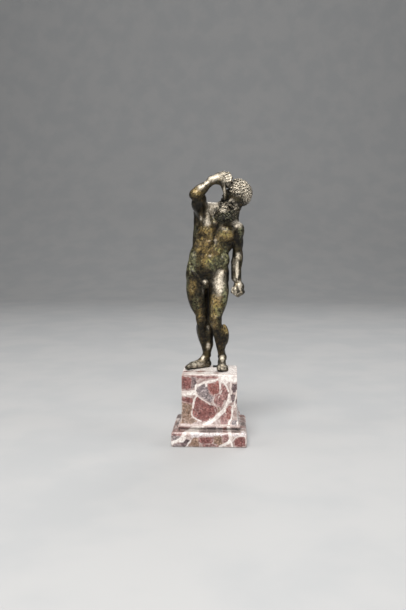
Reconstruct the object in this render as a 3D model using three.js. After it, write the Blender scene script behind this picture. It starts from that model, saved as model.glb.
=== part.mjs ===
// A bearded nude in cast bronze, leaning his head on his raised right hand, on a plinth of
// veined red marble. Millimetres, z up; the plinth's underside is centred on the origin and
// he faces -y, with his own right side towards -x.
import * as THREE from 'three';
import { mergeVertices } from 'three/addons/utils/BufferGeometryUtils.js';

// ---- vectors ----------------------------------------------------------------------
const vec = (x, y, z) => [x, y, z];
const add = (a, b) => [a[0] + b[0], a[1] + b[1], a[2] + b[2]];
const sub = (a, b) => [a[0] - b[0], a[1] - b[1], a[2] - b[2]];
const mul = (a, s) => [a[0] * s, a[1] * s, a[2] * s];
const dot = (a, b) => a[0] * b[0] + a[1] * b[1] + a[2] * b[2];
const cross = (a, b) => [a[1] * b[2] - a[2] * b[1], a[2] * b[0] - a[0] * b[2], a[0] * b[1] - a[1] * b[0]];
const length = (a) => Math.sqrt(dot(a, a));
const unit = (a) => mul(a, 1 / length(a));
const mix = (a, b, t) => add(a, mul(sub(b, a), t));
const radians = (d) => (d * Math.PI) / 180;

// ---- joints of the pose, in millimetres: x to the viewer's right, y away, z up ----
const BACK = 2; // the whole figure stands this much further back than these coordinates
const SOLE = 51; // the height the feet stand at
const HIP_R = vec(-10.6, 5, 121), KNEE_R = vec(-6.2, 3.4, 88.5), ANKLE_R = vec(-3.1, 7, 59.5);
const HIP_L = vec(6.8, 4.5, 118.5), KNEE_L = vec(4, -4.6, 88.5), ANKLE_L = vec(8.9, 4.5, 59.5);
const HEEL_R = vec(0.2, 10.6, 51), TOE_R = vec(-19, -2.8, 51);
const HEEL_L = vec(8.8, 9.8, 51), TOE_L = vec(9.3, -12, 51);
const SHOULDER_R = vec(-5.4, 2.4, 168), ELBOW_R = vec(-10, -11, 179.6), WRIST_R = vec(2.6, -8, 190.4);
const SHOULDER_L = vec(19.8, 3.5, 155.4), ELBOW_L = vec(20, 6.5, 137), WRIST_L = vec(19.9, 1.5, 117.7);
const PUBIS = vec(-3.6, -3.4, 117.2), NAVEL = vec(-0.4, -5.4, 136);
const STERNUM = vec(3.2, -5.4, 145.6), NECK_PIT = vec(8.2, -3, 161.5);
const CRANIUM = vec(20.8, -1, 180.2);
const HEAD_TURN = 31, HEAD_LEAN = 33, HEAD_BOW = 14; // degrees: to his right, to his left, down
const HAIR_CURLS = 235, BEARD_CURLS = 215; // spread over the whole sphere, of which the hair and the beard keep a part

// ---- the plinth's named sizes -------------------------------------------------------
const SLAB_HALF = 27;
const SLAB_TOP = 10.9;
const SLAB_ROUND = 2.6; // the rounded upper edge of the slab
const FILLET_HALF = 22.5;
const FILLET_LOW = 12.4;
const FILLET_TOP = 14.8;
const FLARE_TOP = 26; // where the hollow curve meets the die's face
const DIE_HALF = 20;
const FIGURE_FACES = 9300; // facets of the cast

// ---- a body as an ordered list of smooth joins, cuts and strokes -----------------
const REACH = 1.2; // past its own box within which a piece is still worked out

class Solid {
  constructor() {
    this.ops = [];
  }

  put(kind, lo, hi, k, data) {
    const pad = k + REACH;
    this.ops.push({ kind, lo: lo.map((v) => v - pad), hi: hi.map((v) => v + pad), k, ...data });
  }

  // a round cone from a to b, of radius ra and rb
  cone(a, b, ra, rb, k = 1) {
    const r = Math.max(ra, rb);
    const lo = a.map((v, i) => Math.min(v, b[i]) - r);
    const hi = a.map((v, i) => Math.max(v, b[i]) + r);
    const ba = sub(b, a);
    const l2 = dot(ba, ba);
    this.put('cone', lo, hi, k, { a, b, ra, rb, ba, l2, rr: ra - rb, sign: 1 });
  }

  // an ellipsoid at c, of half-sizes r along its axes; a sign of -1 cuts it away
  ell(c, r, axes, k = 1, sign = 1) {
    const ext = [0, 1, 2].map((i) => Math.hypot(axes[0][i] * r[0], axes[1][i] * r[1], axes[2][i] * r[2]));
    this.put('ell', sub(c, ext), add(c, ext), k, { c, r, m: axes, sign });
  }

  chain(pts, rads, k = 0.5) {
    for (let i = 0; i < pts.length - 1; i++) this.cone(pts[i], pts[i + 1], rads[i], rads[i + 1], k);
  }

  // a soft groove (or ridge, under 0) drawn on whatever surface is there, fading at its ends
  stroke(pts, width, depth, taper = 0.3) {
    const run = [0];
    for (let i = 1; i < pts.length; i++) run.push(run[i - 1] + length(sub(pts[i], pts[i - 1])));
    const whole = Math.max(run[run.length - 1], 1e-9);
    const lo = [0, 1, 2].map((i) => Math.min(...pts.map((p) => p[i])) - 2.6 * width);
    const hi = [0, 1, 2].map((i) => Math.max(...pts.map((p) => p[i])) + 2.6 * width);
    this.put('stroke', lo, hi, 0, { pts, width, depth, taper, run: run.map((v) => v / whole) });
  }

  join(other, k) {
    const lo = [0, 1, 2].map((i) => Math.min(...other.ops.map((o) => o.lo[i])));
    const hi = [0, 1, 2].map((i) => Math.max(...other.ops.map((o) => o.hi[i])));
    this.put('solid', lo, hi, k, { body: other });
  }

  // the part of the list that matters inside a box
  near(lo, hi) {
    const out = new Solid();
    for (const o of this.ops) {
      if (o.lo[0] > hi[0] || o.lo[1] > hi[1] || o.lo[2] > hi[2] || o.hi[0] < lo[0] || o.hi[1] < lo[1] || o.hi[2] < lo[2]) continue;
      out.ops.push(o.kind === 'solid' ? { ...o, body: o.body.near(lo, hi) } : o);
    }
    return out;
  }

  at(x, y, z) {
    let d = 30;
    for (const o of this.ops) {
      if (o.kind === 'stroke') {
        const [d2, t] = lineDistance(o, x, y, z);
        const fade = o.taper ? Math.min(Math.min(t, 1 - t) / o.taper + 0.12, 1) : 1;
        d += o.depth * fade * Math.exp(-d2 / (o.width * o.width));
        continue;
      }
      const e = o.kind === 'cone' ? coneDistance(o, x, y, z) : o.kind === 'ell' ? ellDistance(o, x, y, z) : o.body.at(x, y, z);
      if (o.sign === -1) {
        const h = Math.max(o.k - Math.abs(d + e), 0);
        d = Math.max(d, -e) + (h * h) / (4 * Math.max(o.k, 1e-6));
      } else {
        const h = Math.max(o.k - Math.abs(d - e), 0);
        d = Math.min(d, e) - (h * h) / (4 * Math.max(o.k, 1e-6));
      }
    }
    return d;
  }
}

function coneDistance(o, x, y, z) {
  const { a, ba, l2, ra, rb, rr } = o;
  const pa = [x - a[0], y - a[1], z - a[2]];
  if (l2 <= rr * rr + 1e-9) {
    const c = ra >= rb ? a : o.b;
    return Math.hypot(x - c[0], y - c[1], z - c[2]) - Math.max(ra, rb);
  }
  const a2 = l2 - rr * rr;
  const t = dot(pa, ba);
  const u = t - l2;
  const w = sub(mul(pa, l2), mul(ba, t));
  const x2 = dot(w, w);
  const y2 = t * t * l2;
  const z2 = u * u * l2;
  const k = Math.sign(rr) * rr * rr * x2;
  if (Math.sign(u) * a2 * z2 > k) return Math.sqrt(x2 + z2) / l2 - rb;
  if (Math.sign(t) * a2 * y2 < k) return Math.sqrt(x2 + y2) / l2 - ra;
  return (Math.sqrt((x2 * a2) / l2) + t * rr) / l2 - ra;
}

function ellDistance(o, x, y, z) {
  const q = [x - o.c[0], y - o.c[1], z - o.c[2]];
  let k0 = 0;
  let k1 = 0;
  for (let i = 0; i < 3; i++) {
    const u = dot(o.m[i], q) / o.r[i];
    const v = u / o.r[i];
    k0 += u * u;
    k1 += v * v;
  }
  k0 = Math.sqrt(k0);
  return (k0 * (k0 - 1)) / Math.max(Math.sqrt(k1), 1e-6);
}

function lineDistance(o, x, y, z) {
  let best = Infinity;
  let along = 0;
  for (let i = 0; i < o.pts.length - 1; i++) {
    const a = o.pts[i];
    const ba = sub(o.pts[i + 1], a);
    const pa = [x - a[0], y - a[1], z - a[2]];
    const h = Math.min(Math.max(dot(pa, ba) / (dot(ba, ba) + 1e-9), 0), 1);
    const e = sub(pa, mul(ba, h));
    const d2 = dot(e, e);
    if (d2 < best) {
      best = d2;
      along = o.run[i] + h * (o.run[i + 1] - o.run[i]);
    }
  }
  return [best, along];
}

// the outermost points of the solid met by the rays from origin
function trace(solid, origin, ways) {
  return ways.map((way) => {
    let far = 16;
    for (let i = 0; i < 24; i++) {
      const p = add(origin, mul(way, far));
      far -= 0.8 * solid.at(p[0], p[1], p[2]);
    }
    return add(origin, mul(way, far));
  });
}

// ---- the figure ---------------------------------------------------------------------
// a limb's own frame: start, span, outwards, forwards, and the direction along it
function bone(start, end, front, lateral) {
  const along = unit(sub(end, start));
  const out = unit(sub(lateral, mul(along, dot(lateral, along))));
  let fore = sub(front, mul(along, dot(front, along)));
  fore = unit(sub(fore, mul(out, dot(fore, out))));
  return [start, sub(end, start), out, fore, along];
}

function at(B, s, o, f) {
  return add(add(add(B[0], mul(B[1], s)), mul(B[2], o)), mul(B[3], f));
}

function axesOf(B, tiltOut, tiltFore) {
  const lengthwise = unit(add(add(B[4], mul(B[2], Math.tan(radians(tiltOut)))), mul(B[3], Math.tan(radians(tiltFore)))));
  const sideways = unit(sub(B[2], mul(lengthwise, dot(B[2], lengthwise))));
  return [sideways, cross(lengthwise, sideways), lengthwise];
}

// one muscle: an ellipsoid at share s of the limb, o outwards and f forwards
function muscle(S, B, s, o, f, size, k, tiltOut = 0, tiltFore = 0) {
  S.ell(at(B, s, o, f), size, axesOf(B, tiltOut, tiltFore), k);
}

function thigh(S, B, w, inner) {
  S.cone(at(B, 0.02, 0.3, 0), at(B, 0.97, 0, 0), 6.6 * w, 4.1, 2);
  muscle(S, B, 0.46, 0.7, 2.2 * w, [4.2, 3.4, 14], 2, -2, -3); // straight front muscle
  muscle(S, B, 0.5, 3.3 * w + 0.7 * inner, 0.7, [4.3, 4.8, 13.5], 1.8, -7); // outer
  muscle(S, B, 0.78, -1.7 - 0.6 * inner, 1.4, [2.8 + 0.5 * inner, 2.8, 6], 1.6, 6); // teardrop over the knee
  muscle(S, B, 0.28, -2.9 * w - 0.5 * inner, 0, [4 + 0.6 * inner, 5.2, 13], 1.8, 7); // inner
  muscle(S, B, 0.62, -1.6 - 1.4 * inner, -0.6, [3.2 + 0.3 * inner, 4, 12.5], 1.8, 5);
  muscle(S, B, 0.48, 1.9, -2.9 * w, [3, 3.2, 14], 1.6, 1, 2); // hamstrings
  muscle(S, B, 0.5, -1.9, -2.8 * w, [2.9, 3.2, 13.5], 1.6, -1, 2);
}

// the knee, between the thigh's frame B and the shin's C
function knee(S, B, C, inner) {
  const fore = unit(add(B[3], C[3])), K = C[0], out = C[2], down = C[4];
  const ax = [out, fore, down];
  for (const h of [1, -1]) {
    S.ell(sub(add(add(K, mul(out, 1.9 * h - 0.3 * inner)), mul(fore, 0.4)), mul(down, 0.6)), [2.5 + 0.3 * inner, 3, 3.4], ax, 1.5);
    S.ell(add(add(add(K, mul(out, 1.7 * h - 0.3 * inner)), mul(fore, 0.2)), mul(down, 2.4)), [2.3 + 0.3 * inner, 2.8, 3], ax, 1.5);
  }
  S.ell(sub(add(K, mul(fore, 2.7)), mul(down, 0.4)), [2.2, 1.3, 2.4], ax, 1.1); // kneecap
  S.cone(add(add(K, mul(fore, 2.6)), mul(down, 1)), add(add(K, mul(fore, 2.3)), mul(down, 4.8)), 1, 1.1, 1.2);
  for (const h of [1, -1]) {
    S.stroke([sub(add(add(K, mul(fore, 3.6)), mul(out, 2.7 * h)), mul(down, 2.8)), add(add(add(K, mul(fore, 3.5)), mul(out, 2.6 * h)), mul(down, 0.4)), add(add(add(K, mul(fore, 3.6)), mul(out, 1.5 * h)), mul(down, 2.8))], 0.9, 0.45);
  }
  S.stroke([sub(sub(add(K, mul(fore, 3.9)), mul(out, 1.8)), mul(down, 2.9)), sub(add(K, mul(fore, 4.2)), mul(down, 3.2)), sub(add(add(K, mul(fore, 3.9)), mul(out, 1.8)), mul(down, 2.9))], 0.8, 0.3);
}

function shin(S, C, w, shift, low) {
  S.cone(at(C, 0, 0, 0.2), at(C, 1, 0, 0), 3.6, 2.2, 1.6);
  muscle(S, C, 0.36, shift - 2.6 * w, -1.9, [3.3, 3.7, 9.2], 1.6, 3, 3); // calf, inner head
  muscle(S, C, 0.355 + low, shift + 2.7 * w, -1.7, [3.3, 3.6, 8.6 - 10 * low], 1.6, -4, 3); // calf, outer head
  muscle(S, C, 0.5, 0.5 * shift, -1.2, [4.3, 3.2, 10], 1.8, 0, 2); // under the calf
  muscle(S, C, 0.37, 1.4 + shift, 1.2, [2.6, 2.5, 9.2], 1.6, -3); // beside the shin
  S.chain([at(C, 0.1, -0.5, 2.7), at(C, 0.5, -0.9, 2.1), at(C, 0.9, -1.1, 1.5)], [1.2, 0.9, 0.8], 1.6); // shin bone
  S.chain([at(C, 0.6, 0, -2.3), at(C, 0.88, 0, -2.4), at(C, 1.1, 0, -3)], [1.5, 1.3, 1.6], 1.6); // heel cord
  S.ell(at(C, 0.97, -2, 0.3), [1.2, 1.6, 1.6], axesOf(C, 0, 0), 1.2);
  S.ell(at(C, 1.01, 2.1, -0.5), [1.1, 1.4, 1.8], axesOf(C, 0, 0), 1.2);
}

// the foot; inner is the sideways direction of the big toe
function foot(S, ankle, heel, toe, inner, fine) {
  const L = length(sub(toe, heel));
  const fwd = unit(sub(toe, heel)), up = vec(0, 0, 1);
  const side = unit(sub(inner, mul(fwd, dot(inner, fwd))));
  const ax = [side, fwd, up];
  function p(f, s, z) {
    return add(add(add(heel, mul(fwd, f * L)), mul(side, s)), mul(up, z));
  }
  S.ell(p(0.14, 0, 2.8), [2.8, 3.3, 3.2], ax, 1.2); // heel
  S.cone(add(ankle, mul(up, 0.5)), p(0.38, 0.4, 4.9), 2.7, 2.7, 1.4); // instep
  S.cone(p(0.34, 0.5, 4.8), p(0.7, 0.9, 3.2), 2.7, 2.3, 1.4);
  S.ell(p(0.45, 0.1, 2.4), [3.1, 6.2, 2.8], ax, 1.4);
  S.cone(p(0.18, -1.5, 1.6), p(0.66, -2.2, 1.7), 1.7, 1.7, 1.2); // outer edge
  S.ell(p(0.7, 0, 2.4), [4.2, 3, 2.7], ax, 1.2); // ball
  S.ell(p(0.69, 2.2, 2.2), [1.9, 2.4, 2.4], ax, 0.9);
  // the toes: how far to the side, how far forward, how thick
  const rows = [[2.45, 1, 1.8], [0.5, 0.985, 1.3], [-0.95, 0.955, 1.2], [-2.2, 0.92, 1.12], [-3.3, 0.875, 1.05]];
  for (const [s, f1, r] of rows) {
    const f0 = f1 - (r > 1.5 ? 0.27 : 0.22);
    const tip = p(f1 - r / L, s * 0.99, r + 0.12);
    S.chain([p(f0, s * 0.94, 2.6), p((f0 + 1.2 * f1) / 2.2, s, 1.15 * r + 0.85), tip], [r, r * 0.96, r * 0.96], 0.4);
    if (fine) { // nail
      const nail = add(add(tip, mul(fwd, 0.35 * r)), mul(up, 0.82 * r));
      S.ell(nail, [0.62 * r, 0.55 * r, 0.2 * r], [side, unit(sub(fwd, mul(up, 0.45))), unit(add(up, mul(fwd, 0.45)))], 0.12);
      S.stroke([add(sub(nail, mul(fwd, 0.75 * r)), mul(side, 0.6 * r)), sub(nail, mul(fwd, 0.85 * r)), sub(sub(nail, mul(fwd, 0.75 * r)), mul(side, 0.6 * r))], 0.16, 0.1);
    }
  }
  // the gaps between them
  for (let i = 0; i < 4; i++) {
    const s = (rows[i][0] - rows[i][2] * 0.94 + rows[i + 1][0] + rows[i + 1][2] * 0.94) / 2;
    const f1 = rows[i + 1][1];
    S.stroke([p(f1 - 0.2, s * 0.97, 3.7), p(f1 - 0.1, s, 2.8), p(f1, s, 1.2)], 0.36, 0.55, 0.2);
  }
}

function legRight(fine) {
  const S = new Solid();
  const B = bone(HIP_R, KNEE_R, vec(-0.25, -1, 0), vec(-1, 0.1, 0));
  const C = bone(KNEE_R, ANKLE_R, vec(-0.35, -1, 0), vec(-1, 0.3, 0));
  thigh(S, B, 1.1, 1);
  S.cone(vec(-4.2, 6.6, 112.5), vec(-2.6, 5.4, 92.5), 3.8, 3, 1.6); // the inner thighs touch
  shin(S, C, 1, 0, 0);
  muscle(S, C, 0.62, -1.5, -0.6, [2.4, 2.4, 6.5], 1.6, 2);
  muscle(S, C, 0.62, -1.5, -0.6, [2.4, 2.4, 6.5], 1.6, 2);
  S.chain([vec(-1.4, 5.2, 87), vec(-0.8, 5.5, 79), vec(-1.1, 6, 69), vec(-2.2, 6.6, 61.5)], [2.6, 3.1, 2.8, 2.4], 2); // inner calf
  knee(S, B, C, 1);
  foot(S, ANKLE_R, HEEL_R, TOE_R, vec(1, -1, 0), fine);
  return S;
}

function legLeft(fine) {
  const S = new Solid();
  const B = bone(HIP_L, KNEE_L, vec(-0.15, -1, 0), vec(1, -0.3, 0));
  const C = bone(KNEE_L, ANKLE_L, vec(-0.5, -1, 0), vec(1, -0.5, 0));
  thigh(S, B, 1.02, 0.35);
  S.cone(vec(1.6, 6.2, 111.5), vec(1.5, 3, 92.5), 3.4, 2.7, 1.6);
  shin(S, C, 1.02, 1.6, 0.05);
  knee(S, B, C, 0);
  foot(S, ANKLE_L, HEEL_L, TOE_L, vec(-1, 0, 0), fine);
  return S;
}

function torso() {
  const S = new Solid();
  const lean = [unit(vec(1, 0, -0.25)), vec(0, 1, 0), unit(vec(0.25, 0, 1))];
  const hips = [unit(vec(1, 0, -0.12)), vec(0, 1, 0), unit(vec(0.12, 0, 1))];
  // pelvis and waist
  S.ell(vec(-2, 4.8, 122.5), [14, 8.4, 10], hips, 2);
  S.ell(vec(-11.9, 5.4, 125.2), [6, 7.2, 13], hips, 2.8);
  S.ell(vec(8, 5.2, 121), [5.9, 6.8, 9.5], hips, 2.5);
  S.ell(vec(-0.8, 4.4, 137), [13.2, 8.4, 10.5], lean, 4);
  // chest
  S.ell(vec(2.6, 3.6, 149.5), [14.6, 9.2, 14], lean, 4);
  S.ell(vec(5, 4, 159), [14, 7.6, 8.5], lean, 3.5);
  // belly
  S.ell(vec(-1.8, 0.4, 128), [9, 6.9, 9.2], hips, 3);
  S.ell(vec(-0.2, 0.2, 137), [8.6, 5.9, 10], lean, 3);
  for (const h of [1, -1]) {
    S.ell(add(mix(STERNUM, NAVEL, 0.5), vec(h * 3.4, 1.3, 0)), [3.6, 2.6, 10], lean, 2);
  }
  // flanks over the hip crests
  S.ell(vec(-9.6, 3.6, 136), [5.6, 7.4, 7], lean, 2.6);
  S.ell(vec(9, 3.6, 131.8), [5.2, 7, 6.4], lean, 2.4);
  // breast, and where it runs out to the arms
  S.ell(vec(-0.8, -1.2, 154.4), [6.4, 4.6, 6], [unit(vec(1, 0.1, -0.5)), unit(vec(-0.1, 1, 0.12)), unit(vec(0.5, 0, 1))], 1.4);
  S.ell(vec(11.4, -1.2, 150.8), [6.8, 4.6, 5.8], [unit(vec(1, -0.1, -0.15)), unit(vec(0.1, 1, 0.12)), unit(vec(0.15, 0, 1))], 1.4);
  S.cone(vec(-1.6, -0.6, 156.5), add(SHOULDER_R, vec(-0.6, -3.2, 0.5)), 4.4, 4.4, 2);
  S.cone(vec(13.5, -0.4, 153.5), add(SHOULDER_L, vec(-1.5, -1.6, -0.2)), 3.8, 3.6, 1.6);
  // sides under the arms
  S.cone(vec(-9.2, 5.2, 153), vec(-8.2, 3.6, 166.5), 3.4, 4.2, 2);
  S.ell(vec(-8, 5.2, 150), [4.8, 6.6, 10.5], lean, 2);
  S.ell(vec(14, 5, 148), [4.6, 6, 10.5], lean, 2);
  // shoulder blades, long muscles of the back, seat
  S.ell(vec(-2, 9.6, 158), [6.2, 3.2, 7], lean, 2.4);
  S.ell(vec(13.6, 9.4, 153.5), [6, 3.2, 7], lean, 2.4);
  S.cone(vec(3.4, 9.8, 158), vec(-4.6, 10, 128), 2.8, 2.6, 2.4);
  S.cone(vec(8.6, 9.8, 157), vec(1, 10, 127.5), 2.8, 2.6, 2.4);
  S.ell(vec(-9, 9.8, 119), [7.2, 6.6, 8.2], hips, 2.2);
  S.ell(vec(4.6, 9.8, 116.6), [7, 6.4, 8], hips, 2.2);
  // neck and the slopes to the shoulders
  S.cone(vec(10, 4.8, 161), vec(17, 3, 176), 6.6, 5.9, 2.5);
  S.cone(vec(15.2, 5.2, 160), vec(17.6, 4.4, 171), 5.2, 4.4, 2);
  S.cone(vec(5.5, 5.2, 169.6), vec(14.4, 5, 176.2), 4.3, 3.8, 2.4);
  S.cone(vec(5.5, 4.6, 169.4), add(SHOULDER_R, vec(3.4, 0.6, 1.8)), 4.8, 5.2, 2);
  S.cone(vec(3, 8.2, 163), vec(-5, 6.4, 164.5), 3.6, 4.4, 2.4);
  S.cone(vec(11.5, 5.2, 162), vec(19, 4, 156.8), 4.8, 3.8, 2.4);
  return S;
}

// the drawn lines of the trunk: soft grooves and ridges
function creases(S) {
  // middle line, navel
  S.stroke(drape(S, [[8, 159.8], [5, 153.5], [3.2, 146.6]], -1), 1.3, 0.7, 0.2);
  S.stroke(drape(S, [[3, 145], [1.8, 141], [-0.2, 137.2]], -1), 1, 0.6, 0.15);
  S.stroke(drape(S, [[-0.6, 134.6], [-2.4, 126]], -1), 0.9, 0.25);
  S.ell(add(NAVEL, vec(0, -1.3, 0)), [0.8, 1.5, 1], levelAxes(), 0.6, -1);
  S.ell(add(STERNUM, vec(0, -0.6, -1.4)), [1.3, 1.6, 1.6], levelAxes(), 1.5, -1);
  // under the breasts
  S.stroke(drape(S, [[2.2, 147.2], [-1.8, 147.4], [-5.6, 149.2], [-8.8, 153]], -1), 1.2, 0.75);
  S.stroke(drape(S, [[4.4, 146], [9.5, 143.9], [14.4, 144.8], [17.2, 148]], -1), 1.2, 0.75);
  // the pit of the raised arm, the fold of the breast before it and of the back behind it
  S.stroke(drape(S, [[-4.4, 171], [-4.5, 164], [-6, 157.5], [-8.4, 152]], -1), 1.1, 1, 0.25);
  S.stroke(drape(S, [[-2, 168], [-2.2, 161.5], [-3.6, 156]], -1), 1.3, -0.55);
  S.stroke(drape(S, [[-7.2, 168], [-7.2, 163], [-8.8, 156]], -1), 1.2, -0.4);
  // rib arch
  S.stroke(drape(S, [[1.4, 143.8], [-1.6, 140], [-5.6, 137], [-9.8, 136.4]], -1), 1.5, 0.55);
  S.stroke(drape(S, [[4.6, 143.4], [7.6, 139.6], [10.2, 136.4], [12, 134.4]], -1), 1.5, 0.5);
  // belly's cross lines
  for (const s of [0.16, 0.33]) {
    const mid = mix(STERNUM, PUBIS, s);
    S.stroke(drape(S, [[mid[0] - 5.6, mid[2] + 0.9], [mid[0] - 2.8, mid[2] + 0.1], [mid[0], mid[2] + 0.3], [mid[0] + 2.8, mid[2] + 0.1], [mid[0] + 5.6, mid[2] + 0.5]], -1), 1, 0.34);
  }
  // outer edges of the belly's straight muscle
  S.stroke(drape(S, [[-7.6, 136], [-8.4, 130], [-7, 123.4]], -1), 1.5, 0.4);
  S.stroke(drape(S, [[7.6, 134.4], [7, 128], [3.4, 121.2]], -1), 1.5, 0.4);
  // groin and the lower edge of the belly
  S.stroke(drape(S, [[-5.6, 118.4], [-8.4, 120.6], [-12.6, 126], [-15, 130.4]], -1), 1.1, 0.85);
  S.stroke(drape(S, [[-1.4, 117.6], [3.2, 119], [8, 124], [11.6, 127.8]], -1), 1.1, 0.85);
  S.stroke(drape(S, [[-8.4, 121.8], [-3.6, 120.2], [2, 121.4]], -1), 1.1, 0.4);
  // spine, cleft and under the seat
  S.stroke(drape(S, [[8.2, 166], [7.2, 160], [5.6, 152], [2, 140], [-1.6, 127.5]], 1), 1.5, 0.9, 0.15);
  S.stroke([vec(-2.2, 13.6, 126), vec(-2.4, 16, 119), vec(-2.8, 14, 112.5), vec(-3, 10, 109.6)], 1, 1.7, 0.15);
  S.stroke(drape(S, [[-3.6, 111.4], [-8, 110.6], [-13, 112.6]], 1), 1.2, 0.8);
  S.stroke(drape(S, [[-1.8, 109.4], [3, 108.4], [8.4, 110.4]], 1), 1.2, 0.7);
  // hollows beside the seat and in the small of the back
  S.ell(vec(-19.6, 11.4, 119.5), [4, 4.4, 5.6], levelAxes(), 3, -1);
  S.ell(vec(14.6, 11.4, 116.6), [4, 4.4, 5.6], levelAxes(), 3, -1);
  for (const x of [-4.8, 1.4]) {
    S.ell(vec(x, 14.4, 128.4), [1.2, 1.2, 1.2], levelAxes(), 1.4, -1);
  }
  // shoulder blades and the long muscles between them
  S.stroke(drape(S, [[3.4, 163.4], [1.8, 158], [-1.4, 152.6], [-6.6, 150.6]], 1), 1.6, 0.6);
  S.stroke(drape(S, [[10.4, 161], [10.2, 155], [12.6, 149.4], [16.4, 148]], 1), 1.6, 0.6);
  S.stroke(drape(S, [[-3.6, 149], [-6.2, 140], [-8.2, 132]], 1), 1.8, 0.5);
  S.stroke(drape(S, [[9.4, 148], [6.4, 138], [4.6, 131]], 1), 1.8, 0.5);
  // ribs at the sides
  for (let i = 0; i < 4; i++) {
    const z = 148 - 3.3 * i;
    S.stroke([vec(-12 + 0.1 * i, 2.5, z + 1.8), vec(-10.8 + 0.3 * i, -0.6, z + 0.8), vec(-8.6 + 0.5 * i, -3, z - 0.4)], 1, 0.3);
    S.stroke([vec(16.6 - 0.7 * i, 2.5, z - 1.6), vec(15.4 - 0.8 * i, -0.6, z - 2.6), vec(13.2 - 0.9 * i, -3, z - 3.8)], 1, 0.3);
  }
  // collar bones, pit of the neck, nipples
  S.stroke(drape(S, [[6.4, 163], [2.4, 166.4], [-2, 170.4]], -1), 1.1, -0.6);
  S.stroke(drape(S, [[10.2, 162.2], [14.2, 161.2], [18.4, 159.6]], -1), 1.1, -0.6);
  S.ell(add(NECK_PIT, vec(0.2, -1, 0.8)), [1.5, 1.6, 1.4], levelAxes(), 1.2, -1);
  S.stroke(drape(S, [[-3.4, 151.6], [-3.3, 151.6]], -1), 0.6, -0.4, 0);
  S.stroke(drape(S, [[12.6, 148], [12.7, 148]], -1), 0.6, -0.4, 0);
}

// a line laid on the body where it is seen at the points (x, z) from in front (side -1) or behind (1)
function drape(S, points, side) {
  const line = [];
  for (const [x, z] of points) {
    line.push(trace(S, vec(x, 4, z), [vec(0, side, 0)])[0]);
  }
  return line;
}

function levelAxes() {
  return [vec(1, 0, 0), vec(0, 1, 0), vec(0, 0, 1)];
}

function upperArm(S, B, raised) {
  S.cone(at(B, 0, 0, 0), at(B, 0.98, 0, 0), 4.6, 3.5, 1.6);
  if (raised) {
    muscle(S, B, 0.08, 0.6, 1.2, [5.2, 5, 8], 1.6);
    muscle(S, B, 0.62, -1.9, 1.2, [4.4, 3.8, 7], 1.4);
    muscle(S, B, 0.5, 1.5, -1.6, [5.1, 4.4, 8.4], 1.4, 0, -4);
  } else {
    muscle(S, B, 0.1, 0.7, 0, [4.2, 4.8, 6.2], 1.4, -4);
    muscle(S, B, 0.58, -0.2, 1.7, [3.2, 3, 6.8], 1.1);
    muscle(S, B, 0.52, 0.5, -1.9, [3.5, 3.1, 7.6], 1.1);
    S.stroke([at(B, 0.18, 4.8, 3.6), at(B, 0.42, 4.2, 0.6), at(B, 0.3, 4.2, -2.6)], 1, 0.45);
    S.stroke([at(B, 0.42, 3.6, 0.2), at(B, 0.8, 3.4, 0)], 0.9, 0.35);
  }
}

function forearm(S, C) {
  S.cone(at(C, 0.02, 0, 0), at(C, 0.98, 0, 0), 3.5, 2.4, 1.6);
  muscle(S, C, 0.24, 1.6, 0.7, [2.7, 2.7, 6.6], 1.2, -5);
  muscle(S, C, 0.28, -1.6, -0.4, [2.6, 2.6, 6.4], 1.2, 5);
  muscle(S, C, 0.3, 0.2, -1.5, [2.7, 2.3, 6.8], 1.2, 0, 3);
  S.ell(at(C, 0, 0, -2.5), [1.7, 1.6, 2.1], axesOf(C, 0, 0), 1); // point of the elbow
  for (const h of [1, -1]) {
    S.cone(at(C, 0.7, 0.9 * h, 0), at(C, 1, 1.2 * h, 0), 1.8, 1.8, 1);
  }
}

// his left arm hangs, the fist closed: palm to the thigh, thumb in front
function armLeft() {
  const S = new Solid();
  const B = bone(SHOULDER_L, ELBOW_L, vec(-0.2, -1, 0), vec(1, -0.2, 0));
  const C = bone(ELBOW_L, WRIST_L, vec(-0.3, -1, 0), vec(1, -0.3, 0));
  upperArm(S, B, false);
  forearm(S, C);
  const W = WRIST_L, down = unit(vec(0.13, -0.12, -1));
  const out = unit(vec(1, -0.25, 0)), fore = unit(vec(-0.25, -1, 0));
  S.cone(vec(18.1, 5.2, 131), vec(18, 2.6, 119), 2.9, 2.6, 1.4); // the forearm's inner side
  S.cone(W, add(W, mul(down, 4)), 2.4, 2.8, 1);
  S.ell(add(add(W, mul(down, 6)), mul(out, 0.2)), [4.2, 4.2, 4.9], [out, fore, down], 1);
  for (let i = 0; i < 4; i++) {
    const row = mul(fore, 2.9 - 1.95 * i), drop = 0.3 * Math.abs(i - 1);
    const k0 = add(add(add(W, mul(down, 9.7 - drop)), mul(out, 2.5)), row);
    const k1 = add(sub(add(W, mul(down, 11.6 - drop * 1.4)), mul(out, 0.7)), mul(row, 0.96));
    const k2 = add(sub(add(W, mul(down, 9 - drop)), mul(out, 4.2)), mul(row, 0.94));
    const k3 = add(sub(add(W, mul(down, 6.2 - drop * 0.5)), mul(out, 3.3)), mul(row, 0.9));
    S.chain([add(add(add(W, mul(down, 6.4)), mul(out, 1.8)), mul(row, 0.9)), k0, k1, k2, k3], [1.3, 1.4, 1.35, 1.2, 1.05], 0.3);
  }
  S.chain([sub(add(add(W, mul(down, 3.2)), mul(fore, 2.6)), mul(out, 0.4)), sub(add(add(W, mul(down, 7.2)), mul(fore, 4.9)), mul(out, 0.9)), sub(add(add(W, mul(down, 10.2)), mul(fore, 4.2)), mul(out, 1.9))], [1.7, 1.45, 1.25], 0.5);
  return S;
}

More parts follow.
